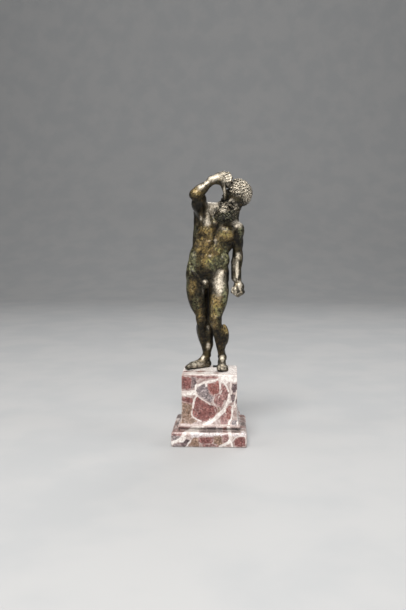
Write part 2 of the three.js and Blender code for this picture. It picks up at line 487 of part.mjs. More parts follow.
// his right arm is raised, the back of the hand laid against the brow: the palm is turned to
// the viewer, the fingers are loosely bent and the thumb hangs down along the temple
function armRight() {
  const S = new Solid();
  const B = bone(SHOULDER_R, ELBOW_R, vec(0.6, -0.2, 1), vec(-1, -0.3, -0.4));
  const C = bone(ELBOW_R, WRIST_R, vec(0.1, 1, -0.6), vec(-0.6, -0.4, 1));
  upperArm(S, B, true);
  forearm(S, C);
  S.ell(add(ELBOW_R, vec(-1.5, -0.6, -0.6)), [3.4, 3.2, 3.6], levelAxes(), 1.4);
  const W = WRIST_R, fwd = unit(vec(1, 0.12, 0.16)); // from the wrist to the knuckles
  const lean = vec(-0.16, 0.1, 1);
  const broad = unit(sub(lean, mul(fwd, dot(lean, fwd)))); // from the forefinger to the little finger
  const palm = cross(fwd, broad); // out of the palm
  const ax = [fwd, broad, palm];
  S.cone(sub(W, mul(fwd, 0.5)), add(add(W, mul(fwd, 3.4)), mul(broad, 0.7)), 2.9, 2.9, 1);
  S.ell(sub(add(add(W, mul(fwd, 5.6)), mul(broad, 0.8)), mul(palm, 0.7)), [5, 4, 2.5], ax, 1.2); // the palm's mass
  S.ell(sub(add(add(W, mul(fwd, 8.6)), mul(broad, 1.1)), mul(palm, 0.8)), [3.4, 3.7, 2.1], ax, 1);
  S.ell(sub(sub(add(W, mul(fwd, 9.4)), mul(broad, 3.4)), mul(palm, 2.6)), [3.2, 4, 3.2], ax, 1.4); // the hand's back, against the hair
  S.cone(vec(0.6, -8.9, 189.8), vec(8.4, -8, 189.2), 2.5, 3.1, 1.2); // underside of the wrist
  for (let i = 0; i < 4; i++) {
    const row = add(W, mul(broad, 3.1 - 1.85 * i));
    const reach = 0.2 - 0.62 * Math.abs(i - 1.9);
    const k0 = sub(add(row, mul(fwd, 8.4)), mul(palm, 0.4));
    const k1 = sub(sub(add(row, mul(fwd, 12 + reach)), mul(palm, 0.2)), mul(broad, 0.3));
    const k2 = sub(add(add(row, mul(fwd, 12.2 + reach)), mul(palm, 1.9)), mul(broad, 0.9));
    const k3 = sub(add(add(row, mul(fwd, 8.7 + reach * 0.6)), mul(palm, 2.5)), mul(broad, 1.7 - 0.2 * i));
    S.chain([sub(add(row, mul(fwd, 6)), mul(palm, 0.6)), k0, k1, k2, k3], [1.15, 1.25, 1.16, 1.1, 1], 0.38);
  }
  // ball of the thumb, and the thumb
  S.ell(add(sub(add(W, mul(fwd, 5)), mul(broad, 2)), mul(palm, 1.2)), [2.6, 3.6, 1.9], ax, 1);
  S.chain([add(sub(add(W, mul(fwd, 5.4)), mul(broad, 3)), mul(palm, 1)), vec(9.9, -8.7, 184.4), vec(11, -7.7, 180.2), vec(10.9, -6.6, 176.9)], [2.2, 1.55, 1.3, 1.05], 0.6);
  return S;
}

// left, forward and up of the turned, leaning and bowed head
function headAxes() {
  const a = radians(HEAD_TURN), b = radians(HEAD_LEAN), c = radians(HEAD_BOW);
  const fwd = vec(-Math.sin(a) * Math.cos(c), -Math.cos(a) * Math.cos(c), -Math.sin(c));
  // up is square to it, and leans by b as seen from the front
  const q = Math.tan(b);
  const up = unit(vec(q, (q * Math.sin(a) * Math.cos(c) + Math.sin(c)) / (-Math.cos(a) * Math.cos(c)), 1));
  return [cross(fwd, up), fwd, up];
}

function head(fine) {
  const S = new Solid();
  const ax = headAxes();
  function p(a, b, c) {
    return add(add(add(CRANIUM, mul(ax[0], a)), mul(ax[1], b)), mul(ax[2], c));
  }
  S.ell(p(0, -0.8, 0.6), [7.3, 8.6, 7.6], ax, 1.5); // skull
  S.ell(p(0, 2.8, -3.8), [5.9, 5.3, 7.2], ax, 2);
  S.ell(p(0, 4.2, -9.2), [3.9, 3.6, 3.1], ax, 1.8); // jaw
  S.ell(p(0, 5.6, 1.4), [5, 2.5, 2.8], ax, 1.5); // forehead
  for (const h of [1, -1]) {
    S.ell(p(2.75 * h, 9, -2), [1.75, 1.5, 1.05], ax, 1.2, -1); // socket
    S.stroke([p(1 * h, 8.4, -0.6), p(2.8 * h, 8.3, -0.25), p(4.7 * h, 6.6, -1.1)], 0.8, -0.35); // brow
    S.ell(p(2.75 * h, 6.5, -1.95), [1.6, 1.4, 1.25], ax, 0.12); // eye, under its lid
    S.ell(p(3.8 * h, 6, -4.4), [1.9, 1.6, 1.7], ax, 1.3); // cheek
    if (fine) {
      S.stroke([p(1.4 * h, 7.9, -2.2), p(2.7 * h, 8, -2.45), p(4.1 * h, 7.1, -2.25)], 0.17, 0.17); // between the lids
      S.stroke([p(1.4 * h, 8, -2), p(2.7 * h, 8.1, -2.15), p(4.1 * h, 7.2, -2)], 0.2, -0.13);
      S.stroke([p(1.4 * h, 8, -1.5), p(2.7 * h, 8.1, -1.15), p(4.2 * h, 7.2, -1.4)], 0.2, 0.13); // over the lid
    }
  }
  // nose and mouth
  S.cone(p(0, 7.3, -0.2), p(0, 7.9, -1.8), 1.3, 0.9, 1);
  S.cone(p(0, 7.8, -1.4), p(0, 9.4, -4.9), 0.75, 0.85, 0.9);
  S.ell(p(0, 9.35, -5.1), [0.95, 0.95, 0.85], ax, 0.5);
  for (const h of [1, -1]) {
    S.ell(p(0.95 * h, 8.7, -5.3), [0.7, 0.95, 0.62], ax, 0.4);
  }
  S.ell(p(0, 7.4, -7.3), [2.7, 1.5, 1.9], ax, 1);
  S.ell(p(0, 8.6, -7.1), [1.5, 0.62, 0.42], ax, 0.35);
  S.ell(p(0, 8.4, -8.05), [1.25, 0.65, 0.5], ax, 0.35);
  S.stroke([p(-1.7, 8.3, -7.6), p(0, 9.1, -7.5), p(1.7, 8.3, -7.6)], 0.22, 0.32);
  hair(S, p, ax, fine);
  beard(S, p, ax, fine);
  return S;
}

// directions spread evenly over the sphere
function directions(n) {
  const out = [];
  for (let i = 0; i < n; i++) {
    const c = 1 - 2 * (i + 0.5) / n;
    const r = Math.sqrt(1 - c * c);
    const a = Math.PI * (3 - Math.sqrt(5)) * i;
    out.push(vec(r * Math.cos(a), r * Math.sin(a), c));
  }
  return out;
}

// a cap of thick short hair, low over the brow and to below the ears, all in curls
function hair(S, p, ax, fine) {
  const cap = new Solid();
  cap.ell(p(0, -1.2, 0.9), [7.5, 8.5, 7.2], ax, 1.5);
  cap.ell(p(2.2, -1.4, 2), [6.1, 7.1, 6.5], ax, 1.5);
  cap.ell(p(4.4, -0.4, 3.6), [4.4, 6, 4.6], ax, 1.5);
  cap.ell(p(0, 4.6, 3), [5.6, 4, 3.6], ax, 1.5); // over the brow
  cap.ell(p(5.9, -1.2, -2.6), [2.5, 4.1, 4.2], ax, 2); // over the ears
  cap.ell(p(-5.7, -1.2, -1.7), [2.1, 4, 3], ax, 2);
  cap.ell(p(0.6, -6.4, -4.2), [4.6, 2.8, 4.2], ax, 2); // nape
  cap.ell(p(0, 11.6, -6.4), [5.6, 8.6, 8], ax, 1.2, -1); // the face's opening
  S.join(cap, 0.5);
  const ways = [], seeds = [];
  for (const [i, way] of directions(HAIR_CURLS).entries()) {
    const low = -0.7 + (way[1] > 0 ? 0.76 * way[1] : 0);
    if (way[2] > low) {
      ways.push(add(add(mul(ax[0], way[0]), mul(ax[1], way[1])), mul(ax[2], way[2])));
      seeds.push(i);
    }
  }
  const spots = trace(cap, p(0, -1.2, 0.4), ways);
  for (let i = 0; i < ways.length; i++) {
    curl(S, spots[i], ways[i], 1.22 + 0.2 * Math.sin(seeds[i] * 2.3), seeds[i], fine);
  }
}

// one curl: a lock that winds inwards and rises from spot along way
function curl(S, spot, way, size, seed, fine) {
  if (!fine) {
    S.ell(add(spot, mul(way, 0.35)), [size * 1.15, size * 1.15, size * 1.1], levelAxes(), 0.35);
    return;
  }
  const turn = seed * 2.39996, hand = (seed * 7 % 5 < 3 ? 1 : -1);
  const e1 = unit(cross(way, vec(0.3, 0.2, 1)));
  const e2 = cross(way, e1);
  const off = add(mul(e1, 0.3 * Math.sin(seed * 1.7)), mul(e2, 0.3 * Math.cos(seed * 2.9)));
  const pts = [], rads = [];
  for (let j = 0; j < 7; j++) {
    const t = j / 6;
    const a = turn + hand * t * 6.4;
    const r = size * (0.92 - 0.8 * t);
    pts.push(add(add(add(add(spot, off), mul(e1, Math.cos(a) * r)), mul(e2, Math.sin(a) * r)), mul(way, 0.1 + 1 * t)));
    rads.push(0.56 - 0.13 * t);
  }
  S.chain(pts, rads, 0.1);
}

// a short broad beard of curls, and the moustache
function beard(S, p, ax, fine) {
  const mass = new Solid();
  mass.chain([p(-6.2, 1.6, -3.6), p(-5.8, 1.8, -6), p(-5.2, 3.6, -8.8), p(-3.2, 5.6, -11.2), p(0, 6.4, -12), p(3.2, 5.6, -11.2), p(5.6, 3.6, -8.8), p(6.6, 1.6, -5.8), p(7, 1.4, -3.2)], [1.3, 1.8, 2.3, 2.6, 2.8, 2.6, 2.3, 1.8, 1.3], 1);
  const mid = add(p(0, 6.4, -12), vec(-0.7, -2.6, -4.5));
  mass.ell(mid, [7.6, 3.8, 4.8], levelAxes(), 1.5);
  S.join(mass, 0.8);
  const ways = [], seeds = [];
  for (const [i, way] of directions(BEARD_CURLS).entries()) {
    const high = dot(way, ax[2]);
    const wide = Math.abs(dot(way, ax[0]));
    if ((way[1] < 0.35) && (high < 0.85)) {
      ways.push(way);
      seeds.push(i + 31);
    }
  }
  const spots = trace(mass, add(mid, vec(0, 3.4, 2.2)), ways);
  for (let i = 0; i < ways.length; i++) {
    const place = sub(spots[i], CRANIUM);
    if ((dot(place, ax[2]) < -9.3) || (Math.abs(dot(place, ax[0])) > 4.4)) {
      curl(S, spots[i], ways[i], 1 + 0.16 * Math.sin(seeds[i] * 2.3), seeds[i], fine);
    }
  }
  for (const h of [1, -1]) {
    S.chain([p(0.6 * h, 9, -5.9), p(2.4 * h, 8.5, -6.1), p(4.2 * h, 7.2, -7), p(5.3 * h, 5.6, -8.2)], [0.36, 0.5, 0.45, 0.34], 0.12);
    S.chain([p(0.3 * h, 9.3, -6.2), p(1.9 * h, 9, -6.7), p(3.5 * h, 8, -7.9), p(4.7 * h, 6.7, -9.3)], [0.45, 0.6, 0.55, 0.38], 0.12);
    S.chain([p(0.5 * h, 9.3, -6.6), p(1.9 * h, 8.8, -7.3), p(3 * h, 8, -8.7), p(3.6 * h, 7.3, -10.1)], [0.42, 0.5, 0.45, 0.34], 0.12);
  }
}

function loins() {
  const S = new Solid();
  S.ell(add(PUBIS, vec(0, -0.6, -1)), [2.6, 2, 2.2], levelAxes(), 1);
  S.chain([add(PUBIS, vec(0, -1.8, -1.4)), add(PUBIS, vec(0.2, -2.8, -3)), add(PUBIS, vec(0.3, -2.9, -4.6))], [1.3, 1.1, 0.95], 0.5);
  S.ell(add(PUBIS, vec(-1.1, -1.2, -4.4)), [1.5, 1.6, 2], levelAxes(), 0.5);
  S.ell(add(PUBIS, vec(1.4, -1.2, -4.1)), [1.4, 1.6, 1.8], levelAxes(), 0.3);
  return S;
}

// the whole cast figure as one body
function figure(fine) {
  const body = torso();
  body.join(legRight(fine), 2);
  body.join(legLeft(fine), 0.8);
  creases(body);
  body.join(loins(), 0.7);
  body.join(armRight(), 2.2);
  body.join(armLeft(), 0.8);
  body.join(head(fine), 1.2);
  return body;
}

// ---- from the body to facets -------------------------------------------------------
// Every cell that the surface crosses is split into six tetrahedra, which gives a closed
// skin; short edges are then folded away, least change of shape first.
const CELL = 0.75; // mm, the lattice on which the figure is sampled
const BLOCK = 8; // cells a side

function skin(solid, lo, hi, floor) {
  const n = [0, 1, 2].map((i) => Math.ceil((hi[i] - lo[i]) / CELL / BLOCK) * BLOCK + 1);
  const field = new Float32Array(n[0] * n[1] * n[2]);
  const id = (i, j, k) => (i * n[1] + j) * n[2] + k;
  const side = BLOCK * CELL;
  const blocks = [];
  for (let bi = 0; bi < n[0] - 1; bi += BLOCK) {
    for (let bj = 0; bj < n[1] - 1; bj += BLOCK) {
      for (let bk = 0; bk < n[2] - 1; bk += BLOCK) {
        const a = [lo[0] + bi * CELL, lo[1] + bj * CELL, lo[2] + bk * CELL];
        const b = a.map((v) => v + side);
        const part = solid.near(a.map((v) => v - side), b.map((v) => v + side));
        const d = part.ops.length ? part.at(a[0] + side / 2, a[1] + side / 2, a[2] + side / 2) : 9;
        if (Math.abs(d) > side * 1.35 + 0.8) continue;
        blocks.push([bi, bj, bk]);
        const local = solid.near(a, b);
        for (let i = bi; i <= bi + BLOCK; i++) {
          for (let j = bj; j <= bj + BLOCK; j++) {
            for (let k = bk; k <= bk + BLOCK; k++) {
              const z = lo[2] + k * CELL;
              field[id(i, j, k)] = Math.max(local.at(lo[0] + i * CELL, lo[1] + j * CELL, z), floor - z);
            }
          }
        }
      }
    }
  }
  const corners = [[0, 0, 0], [1, 0, 0], [0, 1, 0], [1, 1, 0], [0, 0, 1], [1, 0, 1], [0, 1, 1], [1, 1, 1]];
  const tets = [[0, 1, 3, 7], [0, 5, 1, 7], [0, 3, 2, 7], [0, 2, 6, 7], [0, 4, 5, 7], [0, 6, 4, 7]];
  const lone = [[0, 1, 2, 3], [1, 0, 3, 2], [2, 0, 1, 3], [3, 0, 2, 1]];
  const pair = { 3: [0, 1, 2, 3], 5: [0, 2, 3, 1], 9: [0, 3, 1, 2], 6: [1, 2, 0, 3], 10: [1, 3, 2, 0], 12: [2, 3, 0, 1] };
  const verts = [];
  const faces = [];
  const known = new Map();
  const cut = (p, q) => {
    // p and q are lattice points with their cell corner numbers
    const [a, b] = p.id < q.id ? [p, q] : [q, p];
    const key = a.id * 8 + (b.c ^ a.c);
    let v = known.get(key);
    if (v === undefined) {
      const t = Math.min(Math.max(a.v / (a.v - b.v), 0.04), 0.96);
      v = verts.length / 3;
      verts.push(a.x + (b.x - a.x) * t, a.y + (b.y - a.y) * t, a.z + (b.z - a.z) * t);
      known.set(key, v);
    }
    return v;
  };
  for (const [bi, bj, bk] of blocks) {
    for (let i = bi; i < bi + BLOCK; i++) {
      for (let j = bj; j < bj + BLOCK; j++) {
        for (let k = bk; k < bk + BLOCK; k++) {
          let inside = 0;
          for (let c = 0; c < 8; c++) if (field[id(i + corners[c][0], j + corners[c][1], k + corners[c][2])] < 0) inside++;
          if (inside === 0 || inside === 8) continue;
          const p = corners.map(([a, b, c], m) => {
            const g = id(i + a, j + b, k + c);
            return { id: g, c: m, v: field[g], x: lo[0] + (i + a) * CELL, y: lo[1] + (j + b) * CELL, z: lo[2] + (k + c) * CELL };
          });
          for (const tet of tets) {
            const q = tet.map((m) => p[m]);
            let mask = 0;
            for (let m = 0; m < 4; m++) if (q[m].v < 0) mask |= 1 << m;
            if (mask === 0 || mask === 15) continue;
            const count = (mask & 1) + ((mask >> 1) & 1) + ((mask >> 2) & 1) + ((mask >> 3) & 1);
            if (count === 2) {
              const [a, b, c, d] = pair[mask].map((m) => q[m]);
              const [ac, ad, bd, bc] = [cut(a, c), cut(a, d), cut(b, d), cut(b, c)];
              faces.push(ac, ad, bd, ac, bd, bc);
            } else {
              const single = Math.log2(count === 1 ? mask : 15 - mask);
              const [a, b, c, d] = lone[single].map((m) => q[m]);
              const [x, y, z] = [cut(a, b), cut(a, c), cut(a, d)];
              if (count === 1) faces.push(x, y, z);
              else faces.push(x, z, y);
            }
          }
        }
      }
    }
  }
  return { verts: Float64Array.from(verts), faces: Int32Array.from(faces) };
}

// pulls the skin's points onto the true surface
function settle(solid, mesh, floor) {
  const { verts } = mesh;
  const h = 0.06;
  const cells = new Map();
  for (let v = 0; v < verts.length / 3; v++) {
    const key = [0, 1, 2].map((i) => Math.floor(verts[3 * v + i] / 4)).join();
    if (!cells.has(key)) cells.set(key, []);
    cells.get(key).push(v);
  }
  for (const [key, list] of cells) {
    const c = key.split(',').map((s) => Number(s) * 4);
    const part = solid.near(c.map((v) => v - 0.5), c.map((v) => v + 4.5));
    for (const v of list) {
      const [x, y, z] = [verts[3 * v], verts[3 * v + 1], verts[3 * v + 2]];
      if (z < floor + 0.05) continue;
      const d = part.at(x, y, z);
      const g = [part.at(x + h, y, z) - part.at(x - h, y, z), part.at(x, y + h, z) - part.at(x, y - h, z), part.at(x, y, z + h) - part.at(x, y, z - h)].map((w) => w / (2 * h));
      const g2 = Math.max(dot(g, g), 0.1);
      const step = Math.min(Math.max(-d / g2, -0.2), 0.2);
      verts[3 * v] += g[0] * step;
      verts[3 * v + 1] += g[1] * step;
      verts[3 * v + 2] = Math.max(floor, z + g[2] * step);
    }
  }
}

// folds edges away until about `target` faces are left, keeping the skin closed
function thin(mesh, target) {
  const P = mesh.verts;
  const F = mesh.faces;
  const nv = P.length / 3;
  let live = F.length / 3;
  const dead = new Uint8Array(F.length / 3);
  const around = Array.from({ length: nv }, () => []);
  for (let f = 0; f < F.length / 3; f++) for (let m = 0; m < 3; m++) around[F[3 * f + m]].push(f);
  const Q = new Float64Array(nv * 10);
  const normalOf = (a, b, c) => {
    const ux = b[0] - a[0], uy = b[1] - a[1], uz = b[2] - a[2];
    const vx = c[0] - a[0], vy = c[1] - a[1], vz = c[2] - a[2];
    return [uy * vz - uz * vy, uz * vx - ux * vz, ux * vy - uy * vx];
  };
  const pos = (v) => [P[3 * v], P[3 * v + 1], P[3 * v + 2]];
  for (let f = 0; f < F.length / 3; f++) {
    const [a, b, c] = [F[3 * f], F[3 * f + 1], F[3 * f + 2]];
    const nrm = normalOf(pos(a), pos(b), pos(c));
    const len = Math.hypot(...nrm);
    if (len < 1e-12) continue;
    const [x, y, z] = nrm.map((v) => v / len);
    const w = -(x * P[3 * a] + y * P[3 * a + 1] + z * P[3 * a + 2]);
    const q = [x * x, x * y, x * z, x * w, y * y, y * z, y * w, z * z, z * w, w * w];
    for (const v of [a, b, c]) for (let i = 0; i < 10; i++) Q[10 * v + i] += (q[i] * len) / 2;
  }
  const stamp = new Int32Array(nv);
  const heap = [];
  const up = (i) => {
    while (i > 0) {
      const j = (i - 1) >> 1;
      if (heap[j].cost <= heap[i].cost) break;
      [heap[i], heap[j]] = [heap[j], heap[i]];
      i = j;
    }
  };
  const pop = () => {
    const top = heap[0];
    const last = heap.pop();
    if (heap.length) {
      heap[0] = last;
      let i = 0;
      for (;;) {
        let j = 2 * i + 1;
        if (j >= heap.length) break;
        if (j + 1 < heap.length && heap[j + 1].cost < heap[j].cost) j++;
        if (heap[i].cost <= heap[j].cost) break;
        [heap[i], heap[j]] = [heap[j], heap[i]];
        i = j;
      }
    }
    return top;
  };
  const plan = (u, v) => {
    const q = new Array(10);
    for (let i = 0; i < 10; i++) q[i] = Q[10 * u + i] + Q[10 * v + i];
    const err = (p) => q[0] * p[0] * p[0] + 2 * q[1] * p[0] * p[1] + 2 * q[2] * p[0] * p[2] + 2 * q[3] * p[0] + q[4] * p[1] * p[1] + 2 * q[5] * p[1] * p[2] + 2 * q[6] * p[1] + q[7] * p[2] * p[2] + 2 * q[8] * p[2] + q[9];
    const a = pos(u);
    const b = pos(v);
    const m = mix(a, b, 0.5);
    // the best place, held near the edge's middle where the surface is flat
    const soft = 1e-3 * (q[0] + q[4] + q[7]) + 1e-9;
    const A = [q[0] + soft, q[1], q[2], q[4] + soft, q[5], q[7] + soft];
    const B = [soft * m[0] - q[3], soft * m[1] - q[6], soft * m[2] - q[8]];
    const c0 = A[3] * A[5] - A[4] * A[4];
    const c1 = A[2] * A[4] - A[1] * A[5];
    const c2 = A[1] * A[4] - A[2] * A[3];
    const det = A[0] * c0 + A[1] * c1 + A[2] * c2;
    let best = m;
    if (Math.abs(det) > 1e-18) {
      const p = [
        (B[0] * c0 + B[1] * c1 + B[2] * c2) / det,
        (B[0] * c1 + B[1] * (A[0] * A[5] - A[2] * A[2]) + B[2] * (A[1] * A[2] - A[0] * A[4])) / det,
        (B[0] * c2 + B[1] * (A[1] * A[2] - A[0] * A[4]) + B[2] * (A[0] * A[3] - A[1] * A[1])) / det,
      ];
      if (length(sub(p, m)) < 2 * length(sub(a, b))) best = p;
    }
    const len2 = dot(sub(a, b), sub(a, b));
    heap.push({ u, v, p: best, cost: Math.max(err(best), 0) + 1e-5 * len2, su: stamp[u], sv: stamp[v] });
    up(heap.length - 1);
  };
  for (let f = 0; f < F.length / 3; f++) for (let m = 0; m < 3; m++) if (F[3 * f + m] < F[3 * f + ((m + 1) % 3)]) plan(F[3 * f + m], F[3 * f + ((m + 1) % 3)]);
  const ring = (v) => {
    const s = new Set();
    for (const f of around[v]) for (let m = 0; m < 3; m++) s.add(F[3 * f + m]);
    s.delete(v);
    return s;
  };
  while (live > target && heap.length) {
    const { u, v, p, su, sv } = pop();
    if (stamp[u] !== su || stamp[v] !== sv) continue;
    const ru = ring(u);
    const rv = ring(v);
    let common = 0;
    for (const w of ru) if (rv.has(w)) common++;
    if (common !== 2) continue;
    let good = true;
    for (const [a, b] of [[u, v], [v, u]]) {
      for (const f of around[a]) {
        const t = [F[3 * f], F[3 * f + 1], F[3 * f + 2]];
        if (t.includes(b)) continue;
        const before = normalOf(...t.map(pos));
        const after = normalOf(...t.map((w) => (w === a ? p : pos(w))));
        const la = length(after);
        if (la < 1e-5 || dot(before, after) < 0.35 * la * length(before)) {
          good = false;
          break;
        }
        // no needles
        const e = [0, 1, 2].map((m) => length(sub(t[m] === a ? p : pos(t[m]), t[(m + 1) % 3] === a ? p : pos(t[(m + 1) % 3]))));
        if (la / Math.max(...e) ** 2 < 0.06) {
          good = false;
          break;
        }
      }
      if (!good) break;
    }
    if (!good) continue;
    for (const f of around[v]) {
      if (F[3 * f] === u || F[3 * f + 1] === u || F[3 * f + 2] === u) {
        dead[f] = 1;
        live--;
      } else {
        for (let m = 0; m < 3; m++) if (F[3 * f + m] === v) F[3 * f + m] = u;
        around[u].push(f);
      }
    }
    for (const w of rv) around[w] = around[w].filter((f) => !dead[f]);
    around[u] = around[u].filter((f) => !dead[f]);
    around[v] = [];
    for (let i = 0; i < 3; i++) P[3 * u + i] = p[i];
    for (let i = 0; i < 10; i++) Q[10 * u + i] += Q[10 * v + i];
    stamp[u]++;
    stamp[v]++;
    for (const w of ring(u)) plan(u, w);
  }
  const index = new Map();
  const verts = [];
  const faces = [];
  for (let f = 0; f < F.length / 3; f++) {
    if (dead[f]) continue;
    for (let m = 0; m < 3; m++) {
      const v = F[3 * f + m];
      if (!index.has(v)) {
        index.set(v, verts.length / 3);
        verts.push(P[3 * v], P[3 * v + 1], P[3 * v + 2]);
      }
      faces.push(index.get(v));
    }
  }
  return { verts: Float64Array.from(verts), faces: Int32Array.from(faces) };
}

// keeps the largest of the mesh's separate shells
function largest(mesh) {
  const { verts, faces } = mesh;
  const root = Int32Array.from({ length: verts.length / 3 }, (_, i) => i);
  const find = (v) => {
    while (root[v] !== v) v = root[v] = root[root[v]];
    return v;
  };
  for (let f = 0; f < faces.length; f += 3) for (const m of [1, 2]) root[find(faces[f])] = find(faces[f + m]);
  const size = new Map();
  for (let f = 0; f < faces.length; f += 3) size.set(find(faces[f]), (size.get(find(faces[f])) || 0) + 1);
  const best = [...size.entries()].sort((a, b) => b[1] - a[1])[0][0];
  const kept = [];
  for (let f = 0; f < faces.length; f += 3) if (find(faces[f]) === best) kept.push(faces[f], faces[f + 1], faces[f + 2]);
  return { verts, faces: Int32Array.from(kept) };
}

// ---- the marble plinth: one block, a die with a moulded foot on a square slab ------
// half-width and height of each turn of its profile, from the underside to the top
function plinthProfile() {
  const s = SLAB_HALF;
  const d = DIE_HALF;
  const pts = [[s - 0.3, 0], [s, 0.3], [s, SLAB_TOP - SLAB_ROUND]];
  for (let i = 1; i <= 4; i++) {
    const a = (i / 4) * (Math.PI / 2);
    pts.push([s - SLAB_ROUND * 0.8 * (1 - Math.cos(a)), SLAB_TOP - SLAB_ROUND + SLAB_ROUND * Math.sin(a)]);
  }
  // the quirk under the fillet, and the fillet
  pts.push([FILLET_HALF - 1.1, SLAB_TOP], [FILLET_HALF - 1.3, SLAB_TOP + 1.2], [FILLET_HALF - 0.9, FILLET_LOW]);
  for (let i = 0; i <= 4; i++) {
    const a = ((i / 4) * 2 - 1) * (Math.PI / 2);
    pts.push([FILLET_HALF - 0.7 + 0.7 * Math.cos(a), (FILLET_LOW + FILLET_TOP) / 2 + ((FILLET_TOP - FILLET_LOW) / 2) * Math.sin(a)]);
  }
  // the hollow curve up to the face of the die
  for (let i = 1; i <= 8; i++) {
    const t = i / 8;
    pts.push([d + (FILLET_HALF - 0.9 - d) * (1 - t) ** 3, FILLET_TOP + (FLARE_TOP - FILLET_TOP) * t]);
  }
  pts.push([d, SOLE - 0.35], [d - 0.35, SOLE]);
  return pts;
}

function plinthGeometry() {
  const r2 = Math.SQRT2;
  const profile = [new THREE.Vector2(0, 0)];
  for (const [w, z] of plinthProfile()) profile.push(new THREE.Vector2(w * r2, z));
  profile.push(new THREE.Vector2(0, SOLE));
  const g = new THREE.LatheGeometry(profile, 4, Math.PI / 4);
  g.rotateX(Math.PI / 2);
  g.deleteAttribute('uv');
  g.deleteAttribute('normal');
  const merged = mergeVertices(g, 1e-4);
  merged.computeVertexNormals();
  return merged;
}

function figureGeometry() {
  const body = figure(false);
  const raw = skin(body, vec(-23, -23.5, SOLE - 1.6), vec(36, 21, 200), SOLE);
  settle(body, raw, SOLE);
  const mesh = largest(thin(raw, FIGURE_FACES));
  const out = new Float32Array(mesh.verts.length);
  for (let v = 0; v < out.length; v += 3) {
    out[v] = mesh.verts[v];
    out[v + 1] = mesh.verts[v + 1] + BACK;
    out[v + 2] = mesh.verts[v + 2] < SOLE + 0.12 ? SOLE : mesh.verts[v + 2]; // flat soles
  }
  const g = new THREE.BufferGeometry();
  g.setAttribute('position', new THREE.BufferAttribute(out, 3));
  g.setIndex(Array.from(mesh.faces));
  g.computeVertexNormals();
  return g;
}

const group = new THREE.Group();
const bronze = new THREE.MeshStandardMaterial({ color: 0x4b4232, roughness: 0.42, metalness: 0.85 });
const marble = new THREE.MeshStandardMaterial({ color: 0x7d5450, roughness: 0.3, metalness: 0 });

const plinth = new THREE.Mesh(plinthGeometry(), marble);
plinth.name = 'marble_plinth';
group.add(plinth);

const cast = new THREE.Mesh(figureGeometry(), bronze);
cast.name = 'bronze_figure';
group.add(cast);

export default group;
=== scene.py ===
import math

import bpy
import bmesh
import numpy as np
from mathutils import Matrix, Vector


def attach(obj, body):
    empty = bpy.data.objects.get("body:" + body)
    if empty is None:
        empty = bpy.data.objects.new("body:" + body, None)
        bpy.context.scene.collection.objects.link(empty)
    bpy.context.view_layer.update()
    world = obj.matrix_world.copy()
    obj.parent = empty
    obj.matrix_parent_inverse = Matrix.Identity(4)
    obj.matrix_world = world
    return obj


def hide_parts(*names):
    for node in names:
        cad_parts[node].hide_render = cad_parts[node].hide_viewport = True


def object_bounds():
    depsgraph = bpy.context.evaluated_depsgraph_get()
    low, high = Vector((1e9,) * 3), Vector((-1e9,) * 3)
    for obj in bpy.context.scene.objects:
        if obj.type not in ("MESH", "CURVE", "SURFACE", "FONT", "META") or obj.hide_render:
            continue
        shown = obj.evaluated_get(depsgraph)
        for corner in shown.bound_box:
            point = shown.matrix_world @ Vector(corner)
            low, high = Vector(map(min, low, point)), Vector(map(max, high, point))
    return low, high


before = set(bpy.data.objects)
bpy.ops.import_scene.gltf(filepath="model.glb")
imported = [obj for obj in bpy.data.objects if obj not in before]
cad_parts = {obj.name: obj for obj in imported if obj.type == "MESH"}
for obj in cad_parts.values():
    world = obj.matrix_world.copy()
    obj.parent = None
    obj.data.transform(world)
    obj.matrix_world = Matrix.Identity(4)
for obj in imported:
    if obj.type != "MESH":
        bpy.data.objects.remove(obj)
CAD_BOX = [list(corner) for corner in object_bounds()]

VOXEL = 0.3
FIGURE_TRIANGLES = 190000

# the plinth's named sizes, as in the solid
SLAB_HALF = 27.0
SLAB_TOP = 10.9
SLAB_ROUND = 2.6
FILLET_HALF = 22.5
FILLET_LOW = 12.4
FILLET_TOP = 14.8
FLARE_TOP = 26.0
DIE_HALF = 20.0

